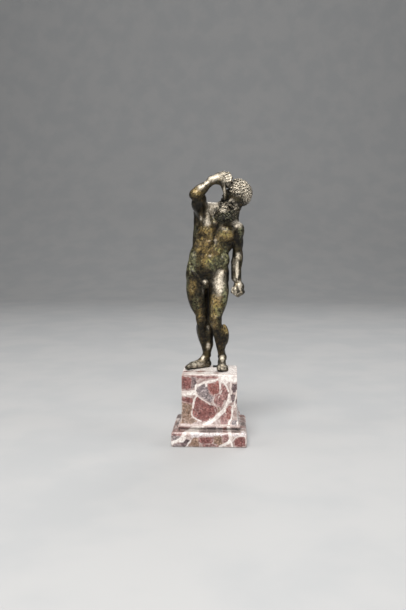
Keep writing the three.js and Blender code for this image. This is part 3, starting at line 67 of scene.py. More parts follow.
# where handling has rubbed the skin bright, and where highlights are painted on the hair, shoulders, forearms, thigh,
# shins and insteps: x, z, half-width, half-height, strength, facing
RUBBED_AND_HIGHLIGHTS = [
    (22.3, 185.4, 9.0, 7.0, 1.0, 0.5),
    (27.4, 178.6, 4.6, 6.0, 0.95, 0.5),
    (-6.3, 184.8, 3.0, 2.4, 0.8, 0.5),
    (-2.6, 188.0, 3.0, 2.4, 0.85, 0.5),
    (1.4, 190.6, 3.2, 2.4, 1.0, 0.5),
    (5.2, 192.6, 3.2, 2.4, 0.85, 0.5),
    (9.0, 193.6, 3.2, 3.0, 0.7, 0.5),
    (10.4, 191.0, 1.3, 4.0, 0.8, 1.0),
    (14.6, 192.4, 1.8, 3.2, 0.8, 1.0),
    (12.8, 190.5, 4.4, 5.6, 0.9, 0.3),
    (2.0, 173.0, 5.0, 4.0, 1.0, 1.0),
    (10.2, 181.4, 1.1, 4.5, 0.9, 1.0),
    (10.7, 172.3, 3.4, 2.2, 1.0, 1.0),
    (9.2, 168.4, 3.0, 1.8, 1.0, 1.0),
    (18.0, 170.9, 2.6, 2.0, 1.0, 1.0),
    (15.6, 175.4, 3.4, 1.4, 0.8, 1.0),
    (-1.5, 163.7, 1.8, 5.2, 0.8, 1.0),
    (-2.4, 160.1, 3.0, 3.4, 0.9, 1.0),
    (-6.8, 162.6, 1.2, 2.3, 0.75, 1.0),
    (20.0, 158.7, 4.2, 3.2, 1.0, 0.8),
    (12.6, 155.2, 2.2, 2.2, 0.2, 1.0),
    (20.2, 135.4, 2.6, 3.2, 0.7, 1.0),
    (19.7, 125.4, 1.3, 8.0, 1.0, 1.0),
    (21.8, 113.4, 1.9, 4.0, 0.85, 0.8),
    (17.6, 111.4, 1.6, 3.0, 0.75, 0.8),
    (7.4, 122.6, 3.0, 3.0, 1.0, 1.0),
    (6.2, 115.6, 4.3, 8.5, 1.0, 1.0),
    (4.8, 105.4, 3.8, 4.0, 0.25, 1.0),
    (2.7, 85.2, 1.3, 1.6, 0.25, 1.0),
    (-1.6, 67.8, 1.6, 2.8, 1.0, 1.0),
    (-1.6, 82.7, 1.5, 3.6, 0.55, 1.0),
    (3.8, 145.7, 1.2, 2.0, 1.0, 1.0),
    (-0.2, 135.6, 1.6, 1.1, 0.7, 1.0),
    (8.6, 134.4, 1.0, 1.1, 0.7, 1.0),
    (8.9, 58.9, 1.9, 2.8, 1.0, 0.6),
    (-5.6, 58.9, 1.6, 2.0, 1.0, 0.6),
    (-4.2, 116.6, 2.4, 1.6, 0.7, 1.0),
    (-5.4, 109.6, 1.3, 4.0, 0.4, 1.0),
    (-11.8, 135.6, 2.2, 4.0, 0.35, 1.0),
    (17.0, 129.0, 2.6, 8.0, 0.4, 1.0),
    (17.3, 117.5, 2.6, 5.0, 0.5, 1.0),
    (18.6, 108.6, 5.6, 3.4, 0.65, 1.0),
    (15.6, 111.6, 2.4, 3.6, 0.7, 1.0),
    (-9.5, 54.6, 9.0, 3.4, 0.85, 0.2),
    (8.8, 54.4, 5.4, 3.4, 0.85, 0.2),
    (0.5, 168.4, 3.2, 3.4, 0.9, 1.0),
]

# where the patina has worn to the golden metal
GOLD = [
    (-3.1, 154.2, 5.0, 4.4, 1.0, 1.0),
    (12.2, 150.4, 5.2, 5.6, 0.9, 1.0),
    (-5.3, 143.5, 6.4, 5.4, 0.9, 1.0),
    (6.3, 141.4, 4.2, 4.2, 0.7, 1.0),
    (4.1, 137.8, 3.4, 2.6, 1.0, 1.0),
    (-0.2, 135.6, 3.6, 3.0, 1.0, 1.0),
    (-3.1, 132.4, 4.4, 4.8, 1.0, 1.0),
    (-9.7, 181.0, 4.6, 4.2, 0.8, 0.8),
    (-13.3, 113.0, 3.2, 6.0, 0.9, 0.8),
    (4.1, 101.8, 5.2, 5.6, 0.9, 1.0),
    (2.9, 85.6, 2.4, 3.0, 1.3, 1.0),
    (2.8, 92.0, 2.8, 5.6, 0.9, 1.0),
    (-1.0, 143.0, 11.0, 14.0, 0.55, 1.0),
    (12.2, 82.0, 3.4, 4.8, 1.0, 0.8),
    (-8.0, 57.6, 7.0, 3.2, 0.6, 0.3),
    (9.2, 56.0, 4.0, 4.2, 0.6, 0.3),
    (-8.0, 92.0, 4.0, 8.0, 0.5, 1.0),
    (0.0, 148.0, 14.0, 9.0, 0.6, -1.0),
    (2.0, 121.0, 12.0, 8.0, 0.6, -1.0),
    (24.0, 184.0, 7.0, 7.0, 0.3, -1.0),
]

# where it has turned olive green
GREEN = [
    (-14.0, 131.4, 5.0, 10.0, 1.0, 1.0),
    (3.4, 130.6, 8.0, 5.6, 1.0, 1.0),
    (10.7, 134.2, 4.0, 9.0, 0.9, 1.0),
    (6.3, 141.4, 4.6, 4.6, 0.8, 1.0),
    (11.4, 152.9, 4.6, 4.4, 0.7, 1.0),
    (10.7, 163.4, 9.6, 5.4, 0.7, 1.0),
    (-11.2, 152.9, 1.9, 5.0, 0.8, 1.0),
    (22.4, 152.9, 2.4, 6.4, 0.8, 1.0),
    (10.4, 107.5, 3.2, 11.0, 0.8, 1.0),
    (-17.0, 115.0, 1.8, 9.0, 0.7, 1.0),
    (5.6, 95.3, 6.2, 7.0, 0.6, 1.0),
    (-9.7, 100.3, 5.0, 8.0, 0.5, 1.0),
    (-2.0, 135.0, 13.0, 9.0, 0.7, -1.0),
    (8.0, 158.0, 9.0, 5.0, 0.6, -1.0),
    (2.0, 82.0, 9.0, 8.0, 0.6, -1.0),
]

# where it is nearly black: dark patina on the beard, and painted shade in the armpits, under the beard and breast, on
# the shadowed fringe, between the legs and down the limbs' shadowed sides, with painted shadows under the toes
DARK_AND_SHADE = [
    (20.9, 147.0, 3.6, 7.0, 0.9, 1.0),
    (-4.2, 164.0, 1.1, 8.0, 0.8, 1.0),
    (-9.4, 170.0, 4.0, 6.5, 0.9, 1.0),
    (-10.8, 156.0, 2.6, 8.0, 0.7, 1.0),
    (2.6, 149.5, 0.9, 9.0, 0.7, 1.0),
    (-12.4, 51.6, 3.6, 1.3, 1.0, 1.0),
    (10.0, 51.4, 5.0, 0.9, 1.0, 1.0),
    (7.0, 156.4, 4.2, 1.8, 0.7, 1.0),
    (13.2, 144.2, 4.6, 2.0, 0.8, 1.0),
    (-4.4, 121.6, 7.6, 2.8, 0.9, 1.0),
    (-3.9, 97.0, 2.6, 16.0, 0.9, 0.6),
    (-5.4, 78.0, 2.6, 10.0, 0.6, 1.0),
    (5.4, 75.0, 3.0, 8.0, 0.6, 1.0),
    (10.9, 162.0, 9.4, 5.4, 1.0, 1.0),
    (16.4, 127.0, 1.5, 9.0, 0.5, 1.0),
    (-7.4, 111.0, 2.4, 8.0, 0.6, 1.0),
    (19.4, 179.6, 5.0, 1.8, 0.6, 1.0),
    (2.0, 140.0, 3.0, 14.0, 0.5, -1.0),
    (-2.0, 90.0, 9.0, 9.0, 0.4, -1.0),
]


# ---- solid-modelling kernel: signed distance, in millimetres --------------------
F32 = np.float32
REACH = 1.2  # mm past a piece's box within which it is still worked out


def vec(x, y, z):
    return np.array([x, y, z], float)


def unit(v):
    return v / np.linalg.norm(v)


def mix(a, b, t):
    return a + (b - a) * t


def dot(a, b):
    return float(np.dot(a, b))


def cross(a, b):
    return np.array([a[1] * b[2] - a[2] * b[1], a[2] * b[0] - a[0] * b[2], a[0] * b[1] - a[1] * b[0]])


def length(v):
    return float(np.linalg.norm(v))


class Solid:
    """An ordered list of smooth joins, cuts and strokes, with a box for each, so that a block of space only meets what can reach it."""

    def __init__(self):
        self.ops = []
        self.boxes = None

    def _add(self, kind, lo, hi, data, k):
        self.boxes = None
        self.ops.append((kind, np.asarray(lo, float), np.asarray(hi, float), data, float(k)))

    def cone(self, a, b, ra, rb, k=1.0, sign=1):
        r = max(ra, rb)
        self._add("cone" if sign > 0 else "-cone", np.minimum(a, b) - r, np.maximum(a, b) + r, (np.asarray(a, float), np.asarray(b, float), float(ra), float(rb)), k)

    def ell(self, c, r, axes=None, k=1.0, sign=1):
        m = np.eye(3) if axes is None else np.array(axes, float)  # rows are the ellipsoid's axes
        ext = np.sqrt(((m * np.asarray(r, float)[:, None]) ** 2).sum(0))
        self._add("ell" if sign > 0 else "-ell", c - ext, c + ext, (np.asarray(c, float), np.asarray(r, float), m), k)

    def chain(self, pts, rads, k=0.5, sign=1):
        for i in range(len(pts) - 1):
            self.cone(pts[i], pts[i + 1], rads[i], rads[i + 1], k, sign)

    def stroke(self, pts, width, depth, taper=0.3):
        """A soft groove (depth over 0) or ridge (under 0) drawn through pts on whatever surface is there, fading out at its ends."""
        pts = [np.asarray(p, float) for p in pts]
        run = np.concatenate([[0.0], np.cumsum([np.linalg.norm(pts[i + 1] - pts[i]) for i in range(len(pts) - 1)])])
        run = run / max(run[-1], 1e-9)
        lo = np.min(pts, 0) - 2.6 * width
        hi = np.max(pts, 0) + 2.6 * width
        self._add("stroke", lo, hi, (pts, float(width), float(depth), run, taper), 0)

    def join(self, other, k):
        los = [o[1] for o in other.ops]
        his = [o[2] for o in other.ops]
        self._add("solid", np.min(los, 0), np.max(his, 0), other, k)


def d_cone(p, a, b, ra, rb):
    ba = (b - a).astype(F32)
    l2 = float(ba @ ba)
    rr = ra - rb
    if l2 <= rr * rr + 1e-9:
        c, r = (a, ra) if ra >= rb else (b, rb)
        return np.linalg.norm(p - c.astype(F32), axis=1) - F32(r)
    a2 = l2 - rr * rr
    il2 = 1.0 / l2
    pa = p - a.astype(F32)
    y = pa @ ba
    z = y - F32(l2)
    w = pa * F32(l2) - ba * y[:, None]
    x2 = np.einsum("ij,ij->i", w, w)
    y2 = y * y * F32(l2)
    z2 = z * z * F32(l2)
    kk = np.sign(rr) * rr * rr * x2
    d = (np.sqrt(x2 * F32(a2 * il2)) + y * F32(rr)) * F32(il2) - F32(ra)
    m1 = np.sign(z) * a2 * z2 > kk
    m2 = (~m1) & (np.sign(y) * a2 * y2 < kk)
    d[m1] = (np.sqrt(x2[m1] + z2[m1]) * F32(il2) - F32(rb))
    d[m2] = (np.sqrt(x2[m2] + y2[m2]) * F32(il2) - F32(ra))
    return d


def d_ell(p, c, r, m):
    q = (p - c.astype(F32)) @ m.T.astype(F32)
    u = q / r.astype(F32)
    k0 = np.sqrt(np.einsum("ij,ij->i", u, u))
    v = u / r.astype(F32)
    k1 = np.sqrt(np.einsum("ij,ij->i", v, v))
    return k0 * (k0 - 1) / np.maximum(k1, 1e-6)


def d_line(p, pts, run):
    """Squared distance to the line, and how far along it (0 to 1) the nearest point is."""
    best = None
    for i in range(len(pts) - 1):
        a = pts[i].astype(F32)
        ba = (pts[i + 1] - pts[i]).astype(F32)
        pa = p - a
        h = np.clip(pa @ ba / F32(float(ba @ ba) + 1e-9), 0, 1)
        e = pa - h[:, None] * ba
        d2 = np.einsum("ij,ij->i", e, e)
        t = F32(run[i]) + h * F32(run[i + 1] - run[i])
        if best is None:
            best, along = d2, t
        else:
            m = d2 < best
            best = np.where(m, d2, best)
            along = np.where(m, t, along)
    return best, along


def distance(solid, p, lo, hi):
    """The solid's distance at points p, all inside the box lo..hi."""
    d = np.full(len(p), 30.0, F32)
    if solid.boxes is None:
        pad = np.array([[o[4] + REACH] for o in solid.ops])
        solid.boxes = (np.array([o[1] for o in solid.ops]) - pad, np.array([o[2] for o in solid.ops]) + pad)
    near = np.flatnonzero(np.all(solid.boxes[0] <= hi, 1) & np.all(solid.boxes[1] >= lo, 1))
    for i in near:
        kind, _, _, data, k = solid.ops[i]
        if kind == "stroke":
            pts, width, depth, run, taper = data
            d2, t = d_line(p, pts, run)
            fade = np.minimum(np.minimum(t, 1 - t) * F32(1 / taper) + F32(0.12), 1) if taper else F32(1)
            d = d + F32(depth) * fade * np.exp(-d2 / F32(width * width))
            continue
        if kind == "solid":
            e = distance(data, p, lo, hi)
        elif kind.endswith("cone"):
            e = d_cone(p, *data)
        else:
            e = d_ell(p, *data)
        if kind[0] == "-":
            h = np.maximum(F32(k) - np.abs(d + e), 0)
            d = np.maximum(d, -e) + h * h * F32(0.25 / max(k, 1e-6))
        else:
            h = np.maximum(F32(k) - np.abs(d - e), 0)
            d = np.minimum(d, e) - h * h * F32(0.25 / max(k, 1e-6))
    return d


def trace(solid, origin, ways):
    """The outermost points of the solid met by the rays from origin."""
    ways = np.array(ways, float)
    p = origin + ways * 16.0
    for _ in range(24):
        d = distance(solid, p.astype(F32), p.min(0) - 12, p.max(0) + 12)
        p = p - ways * (d * 0.8)[:, None]
    return p


def sample(solid, lo, hi, step, block=16):
    """The distance on a lattice of that step from lo to past hi, worked out only in the blocks near the surface."""
    lo = np.asarray(lo, float)
    n = np.ceil((np.asarray(hi, float) - lo) / step / block).astype(int) * block
    grid = np.empty(tuple(n + 1), F32)
    nb = n // block
    side = block * step
    ijk = np.stack(np.meshgrid(*[np.arange(b) for b in nb], indexing="ij"), -1).reshape(-1, 3)
    centres = lo + (ijk + 0.5) * side
    # a coarse pass in slabs of blocks, to see which blocks are near the surface
    dc = np.empty(len(ijk), F32)
    cell = 4
    keys = (ijk // cell) @ np.array([10000, 100, 1])
    order = np.argsort(keys, kind="stable")
    bounds = np.flatnonzero(np.diff(keys[order])) + 1
    for part in np.split(order, bounds):
        c = centres[part]
        dc[part] = distance(solid, c.astype(F32), c.min(0) - side, c.max(0) + side)
    near = np.abs(dc) < side * 0.87 * 1.5 + 0.6
    full = np.where(dc > 0, F32(side), F32(-side))
    ax = [lo[i] + np.arange(n[i] + 1) * step for i in range(3)]
    for t in range(len(ijk)):
        if not near[t]:
            i, j, k = ijk[t] * block
            grid[i : i + block + 1, j : j + block + 1, k : k + block + 1] = full[t]
    for t in np.flatnonzero(near):
        i, j, k = ijk[t] * block
        xs, ys, zs = ax[0][i : i + block + 1], ax[1][j : j + block + 1], ax[2][k : k + block + 1]
        p = np.stack(np.meshgrid(xs, ys, zs, indexing="ij"), -1).reshape(-1, 3)
        d = distance(solid, p.astype(F32), p[0], p[-1])
        grid[i : i + block + 1, j : j + block + 1, k : k + block + 1] = d.reshape(block + 1, block + 1, block + 1)
    return grid, lo


def nets(grid, lo, step):
    """Naive surface nets: one vertex in each cell that the surface crosses, one quad on each lattice edge that it crosses."""
    s = grid < 0
    nx, ny, nz = grid.shape
    any_in = np.zeros((nx - 1, ny - 1, nz - 1), bool)
    all_in = np.ones((nx - 1, ny - 1, nz - 1), bool)
    for dx in (0, 1):
        for dy in (0, 1):
            for dz in (0, 1):
                c = s[dx : nx - 1 + dx, dy : ny - 1 + dy, dz : nz - 1 + dz]
                any_in |= c
                all_in &= c
    act = any_in & ~all_in
    cells = np.argwhere(act)
    index = np.full(act.shape, -1, np.int32)
    index[tuple(cells.T)] = np.arange(len(cells))
    acc = np.zeros((len(cells), 3), F32)
    cnt = np.zeros(len(cells), F32)
    corners = [(a, b, c) for a in (0, 1) for b in (0, 1) for c in (0, 1)]
    val = {o: grid[cells[:, 0] + o[0], cells[:, 1] + o[1], cells[:, 2] + o[2]] for o in corners}
    for o in corners:
        for axis in range(3):
            if o[axis]:
                continue
            q = list(o)
            q[axis] = 1
            q = tuple(q)
            a, b = val[o], val[q]
            m = (a < 0) != (b < 0)
            t = np.where(m, a / np.where(m, a - b, 1), 0)
            for i in range(3):
                acc[:, i] += np.where(m, (o[i] + (t if i == axis else 0)), 0)
            cnt += m
    verts = lo + (cells + acc / cnt[:, None]) * step
    faces = []
    for axis in range(3):
        u, v = (axis + 1) % 3, (axis + 2) % 3
        a = [slice(None)] * 3
        b = [slice(None)] * 3
        a[axis], b[axis] = slice(0, -1), slice(1, None)
        s0, s1 = s[tuple(a)], s[tuple(b)]
        cross = s0 != s1
        e = np.argwhere(cross)
        ok = (e[:, u] > 0) & (e[:, v] > 0) & (e[:, u] < grid.shape[u] - 1) & (e[:, v] < grid.shape[v] - 1)
        e = e[ok]
        quad = []
        for du, dv in ((-1, -1), (0, -1), (0, 0), (-1, 0)):
            c = e.copy()
            c[:, u] += du
            c[:, v] += dv
            quad.append(index[tuple(c.T)])
        quad = np.stack(quad, 1)
        flip = ~s0[tuple(e.T)]
        quad[flip] = quad[flip][:, ::-1]
        faces.append(quad)
    return verts, np.concatenate(faces)


def project(solid, verts, cell=4.0, rounds=2, most=0.2):
    """Moves each vertex onto the surface along the gradient, and returns the normals too."""
    keys = np.floor(verts / cell).astype(int) @ np.array([1000003, 1009, 1])
    order = np.argsort(keys, kind="stable")
    bounds = np.flatnonzero(np.diff(keys[order])) + 1
    out = verts.astype(F32).copy()
    normal = np.zeros_like(out)
    h = F32(0.05)
    for part in np.split(order, bounds):
        p = out[part]
        for r in range(rounds):
            lo, hi = p.min(0) - 0.3, p.max(0) + 0.3
            tet = np.array([[1, -1, -1], [-1, -1, 1], [-1, 1, -1], [1, 1, 1]], F32)
            q = np.concatenate([p] + [p + h * t for t in tet])
            d = distance(solid, q, lo, hi).reshape(5, -1)
            g = np.einsum("ti,tn->ni", tet, d[1:]) / (4 * h)
            g2 = np.maximum(np.einsum("ij,ij->i", g, g), 0.05)
            move = -(d[0] / g2)[:, None] * g
            ln = np.maximum(np.linalg.norm(move, axis=1), 1e-9)
            move *= np.minimum(1, most / ln)[:, None]
            p = p + move
        out[part] = p
        normal[part] = g / np.sqrt(g2)[:, None]
    return out, normal


# ---- joints of the pose, in millimetres: x to the viewer's right, y away, z up ----
BACK = 2.0  # the whole figure stands this much further back than these coordinates
SOLE = 51.0  # the height the feet stand at
HIP_R, KNEE_R, ANKLE_R = vec(-10.6, 5.0, 121.0), vec(-6.2, 3.4, 88.5), vec(-3.1, 7.0, 59.5)
HIP_L, KNEE_L, ANKLE_L = vec(6.8, 4.5, 118.5), vec(4.0, -4.6, 88.5), vec(8.9, 4.5, 59.5)
HEEL_R, TOE_R = vec(0.2, 10.6, 51.0), vec(-19.0, -2.8, 51.0)
HEEL_L, TOE_L = vec(8.8, 9.8, 51.0), vec(9.3, -12.0, 51.0)
SHOULDER_R, ELBOW_R, WRIST_R = vec(-5.4, 2.4, 168.0), vec(-10.0, -11.0, 179.6), vec(2.6, -8.0, 190.4)
SHOULDER_L, ELBOW_L, WRIST_L = vec(19.8, 3.5, 155.4), vec(20.0, 6.5, 137.0), vec(19.9, 1.5, 117.7)
PUBIS, NAVEL = vec(-3.6, -3.4, 117.2), vec(-0.4, -5.4, 136.0)
STERNUM, NECK_PIT = vec(3.2, -5.4, 145.6), vec(8.2, -3.0, 161.5)
CRANIUM = vec(20.8, -1.0, 180.2)
HEAD_TURN, HEAD_LEAN, HEAD_BOW = 31.0, 33.0, 14.0  # degrees: to his right, to his left, down
HAIR_CURLS, BEARD_CURLS = 235, 215  # spread over the whole sphere, of which the hair and the beard keep a part


# a limb's own frame: start, span, outwards, forwards, and the direction along it
def bone(start, end, front, lateral):
    along = unit(end - start)
    out = unit(lateral - along * dot(lateral, along))
    fore = front - along * dot(front, along)
    fore = unit(fore - out * dot(fore, out))
    return [start, end - start, out, fore, along]


def at(B, s, o, f):
    return B[0] + B[1] * s + B[2] * o + B[3] * f


def axes_of(B, tilt_out, tilt_fore):
    lengthwise = unit(B[4] + B[2] * math.tan(math.radians(tilt_out)) + B[3] * math.tan(math.radians(tilt_fore)))
    sideways = unit(B[2] - lengthwise * dot(B[2], lengthwise))
    return [sideways, cross(lengthwise, sideways), lengthwise]


# one muscle: an ellipsoid at share s of the limb, o outwards and f forwards
def muscle(S, B, s, o, f, size, k, tilt_out=0.0, tilt_fore=0.0):
    S.ell(at(B, s, o, f), size, axes_of(B, tilt_out, tilt_fore), k)


def thigh(S, B, w, inner):
    S.cone(at(B, 0.02, 0.3, 0), at(B, 0.97, 0, 0), 6.6 * w, 4.1, 2.0)
    muscle(S, B, 0.46, 0.7, 2.2 * w, (4.2, 3.4, 14.0), 2.0, -2, -3)  # straight front muscle
    muscle(S, B, 0.50, 3.3 * w + 0.7 * inner, 0.7, (4.3, 4.8, 13.5), 1.8, -7)  # outer
    muscle(S, B, 0.78, -1.7 - 0.6 * inner, 1.4, (2.8 + 0.5 * inner, 2.8, 6.0), 1.6, 6)  # teardrop over the knee
    muscle(S, B, 0.28, -2.9 * w - 0.5 * inner, 0.0, (4.0 + 0.6 * inner, 5.2, 13.0), 1.8, 7)  # inner
    muscle(S, B, 0.62, -1.6 - 1.4 * inner, -0.6, (3.2 + 0.3 * inner, 4.0, 12.5), 1.8, 5)
    muscle(S, B, 0.48, 1.9, -2.9 * w, (3.0, 3.2, 14.0), 1.6, 1, 2)  # hamstrings
    muscle(S, B, 0.50, -1.9, -2.8 * w, (2.9, 3.2, 13.5), 1.6, -1, 2)


# the knee, between the thigh's frame B and the shin's C
def knee(S, B, C, inner):
    fore, K, out, down = unit(B[3] + C[3]), C[0], C[2], C[4]
    ax = [out, fore, down]
    for h in (1, -1):
        S.ell(K + out * (1.9 * h - 0.3 * inner) + fore * 0.4 - down * 0.6, (2.5 + 0.3 * inner, 3.0, 3.4), ax, 1.5)
        S.ell(K + out * (1.7 * h - 0.3 * inner) + fore * 0.2 + down * 2.4, (2.3 + 0.3 * inner, 2.8, 3.0), ax, 1.5)
    S.ell(K + fore * 2.7 - down * 0.4, (2.2, 1.3, 2.4), ax, 1.1)  # kneecap
    S.cone(K + fore * 2.6 + down * 1.0, K + fore * 2.3 + down * 4.8, 1.0, 1.1, 1.2)
    for h in (1, -1):
        S.stroke([K + fore * 3.6 + out * (2.7 * h) - down * 2.8, K + fore * 3.5 + out * (2.6 * h) + down * 0.4, K + fore * 3.6 + out * (1.5 * h) + down * 2.8], 0.9, 0.45)
    S.stroke([K + fore * 3.9 - out * 1.8 - down * 2.9, K + fore * 4.2 - down * 3.2, K + fore * 3.9 + out * 1.8 - down * 2.9], 0.8, 0.3)


def shin(S, C, w, shift, low):
    S.cone(at(C, 0.0, 0, 0.2), at(C, 1.0, 0, 0), 3.6, 2.2, 1.6)
    muscle(S, C, 0.36, shift - 2.6 * w, -1.9, (3.3, 3.7, 9.2), 1.6, 3, 3)  # calf, inner head
    muscle(S, C, 0.355 + low, shift + 2.7 * w, -1.7, (3.3, 3.6, 8.6 - 10 * low), 1.6, -4, 3)  # calf, outer head
    muscle(S, C, 0.50, 0.5 * shift, -1.2, (4.3, 3.2, 10.0), 1.8, 0, 2)  # under the calf
    muscle(S, C, 0.37, 1.4 + shift, 1.2, (2.6, 2.5, 9.2), 1.6, -3)  # beside the shin
    S.chain([at(C, 0.10, -0.5, 2.7), at(C, 0.5, -0.9, 2.1), at(C, 0.9, -1.1, 1.5)], [1.2, 0.9, 0.8], 1.6)  # shin bone
    S.chain([at(C, 0.60, 0.0, -2.3), at(C, 0.88, 0.0, -2.4), at(C, 1.10, 0.0, -3.0)], [1.5, 1.3, 1.6], 1.6)  # heel cord
    S.ell(at(C, 0.97, -2.0, 0.3), (1.2, 1.6, 1.6), axes_of(C, 0, 0), 1.2)
    S.ell(at(C, 1.01, 2.1, -0.5), (1.1, 1.4, 1.8), axes_of(C, 0, 0), 1.2)


# the foot; inner is the sideways direction of the big toe
def foot(S, ankle, heel, toe, inner, fine):
    L = length(toe - heel)
    fwd, up = unit(toe - heel), vec(0, 0, 1)
    side = unit(inner - fwd * dot(inner, fwd))
    ax = [side, fwd, up]

    def p(f, s, z):
        return heel + fwd * (f * L) + side * s + up * z

    S.ell(p(0.14, 0.0, 2.8), (2.8, 3.3, 3.2), ax, 1.2)  # heel
    S.cone(ankle + up * 0.5, p(0.38, 0.4, 4.9), 2.7, 2.7, 1.4)  # instep
    S.cone(p(0.34, 0.5, 4.8), p(0.70, 0.9, 3.2), 2.7, 2.3, 1.4)
    S.ell(p(0.45, 0.1, 2.4), (3.1, 6.2, 2.8), ax, 1.4)
    S.cone(p(0.18, -1.5, 1.6), p(0.66, -2.2, 1.7), 1.7, 1.7, 1.2)  # outer edge
    S.ell(p(0.70, 0.0, 2.4), (4.2, 3.0, 2.7), ax, 1.2)  # ball
    S.ell(p(0.69, 2.2, 2.2), (1.9, 2.4, 2.4), ax, 0.9)
    # the toes: how far to the side, how far forward, how thick
    rows = [(2.45, 1.00, 1.8), (0.50, 0.985, 1.3), (-0.95, 0.955, 1.2), (-2.2, 0.92, 1.12), (-3.3, 0.875, 1.05)]
    for s, f1, r in rows:
        f0 = f1 - (0.27 if r > 1.5 else 0.22)
        tip = p(f1 - r / L, s * 0.99, r + 0.12)
        S.chain([p(f0, s * 0.94, 2.6), p((f0 + 1.2 * f1) / 2.2, s, 1.15 * r + 0.85), tip], [r, r * 0.96, r * 0.96], 0.4)
        if fine:  # nail
            nail = tip + fwd * (0.35 * r) + up * (0.82 * r)
            S.ell(nail, (0.62 * r, 0.55 * r, 0.2 * r), [side, unit(fwd - up * 0.45), unit(up + fwd * 0.45)], 0.12)
            S.stroke([nail - fwd * (0.75 * r) + side * (0.6 * r), nail - fwd * (0.85 * r), nail - fwd * (0.75 * r) - side * (0.6 * r)], 0.16, 0.10)
    # the gaps between them
    for i in range(4):
        s = (rows[i][0] - rows[i][2] * 0.94 + rows[i + 1][0] + rows[i + 1][2] * 0.94) / 2
        f1 = rows[i + 1][1]
        S.stroke([p(f1 - 0.20, s * 0.97, 3.7), p(f1 - 0.1, s, 2.8), p(f1, s, 1.2)], 0.36, 0.55, 0.2)


def leg_right(fine):
    S = Solid()
    B = bone(HIP_R, KNEE_R, vec(-0.25, -1, 0), vec(-1, 0.1, 0))
    C = bone(KNEE_R, ANKLE_R, vec(-0.35, -1, 0), vec(-1, 0.3, 0))
    thigh(S, B, 1.10, 1.0)
    S.cone(vec(-4.2, 6.6, 112.5), vec(-2.6, 5.4, 92.5), 3.8, 3.0, 1.6)  # the inner thighs touch
    shin(S, C, 1.0, 0.0, 0.0)
    muscle(S, C, 0.62, -1.5, -0.6, (2.4, 2.4, 6.5), 1.6, 2)
    muscle(S, C, 0.62, -1.5, -0.6, (2.4, 2.4, 6.5), 1.6, 2)
    S.chain([vec(-1.4, 5.2, 87.0), vec(-0.8, 5.5, 79.0), vec(-1.1, 6.0, 69.0), vec(-2.2, 6.6, 61.5)], [2.6, 3.1, 2.8, 2.4], 2.0)  # inner calf
    knee(S, B, C, 1.0)
    foot(S, ANKLE_R, HEEL_R, TOE_R, vec(1, -1, 0), fine)
    return S


def leg_left(fine):
    S = Solid()
    B = bone(HIP_L, KNEE_L, vec(-0.15, -1, 0), vec(1, -0.3, 0))
    C = bone(KNEE_L, ANKLE_L, vec(-0.5, -1, 0), vec(1, -0.5, 0))
    thigh(S, B, 1.02, 0.35)
    S.cone(vec(1.6, 6.2, 111.5), vec(1.5, 3.0, 92.5), 3.4, 2.7, 1.6)
    shin(S, C, 1.02, 1.6, 0.05)
    knee(S, B, C, 0.0)
    foot(S, ANKLE_L, HEEL_L, TOE_L, vec(-1, 0, 0), fine)
    return S


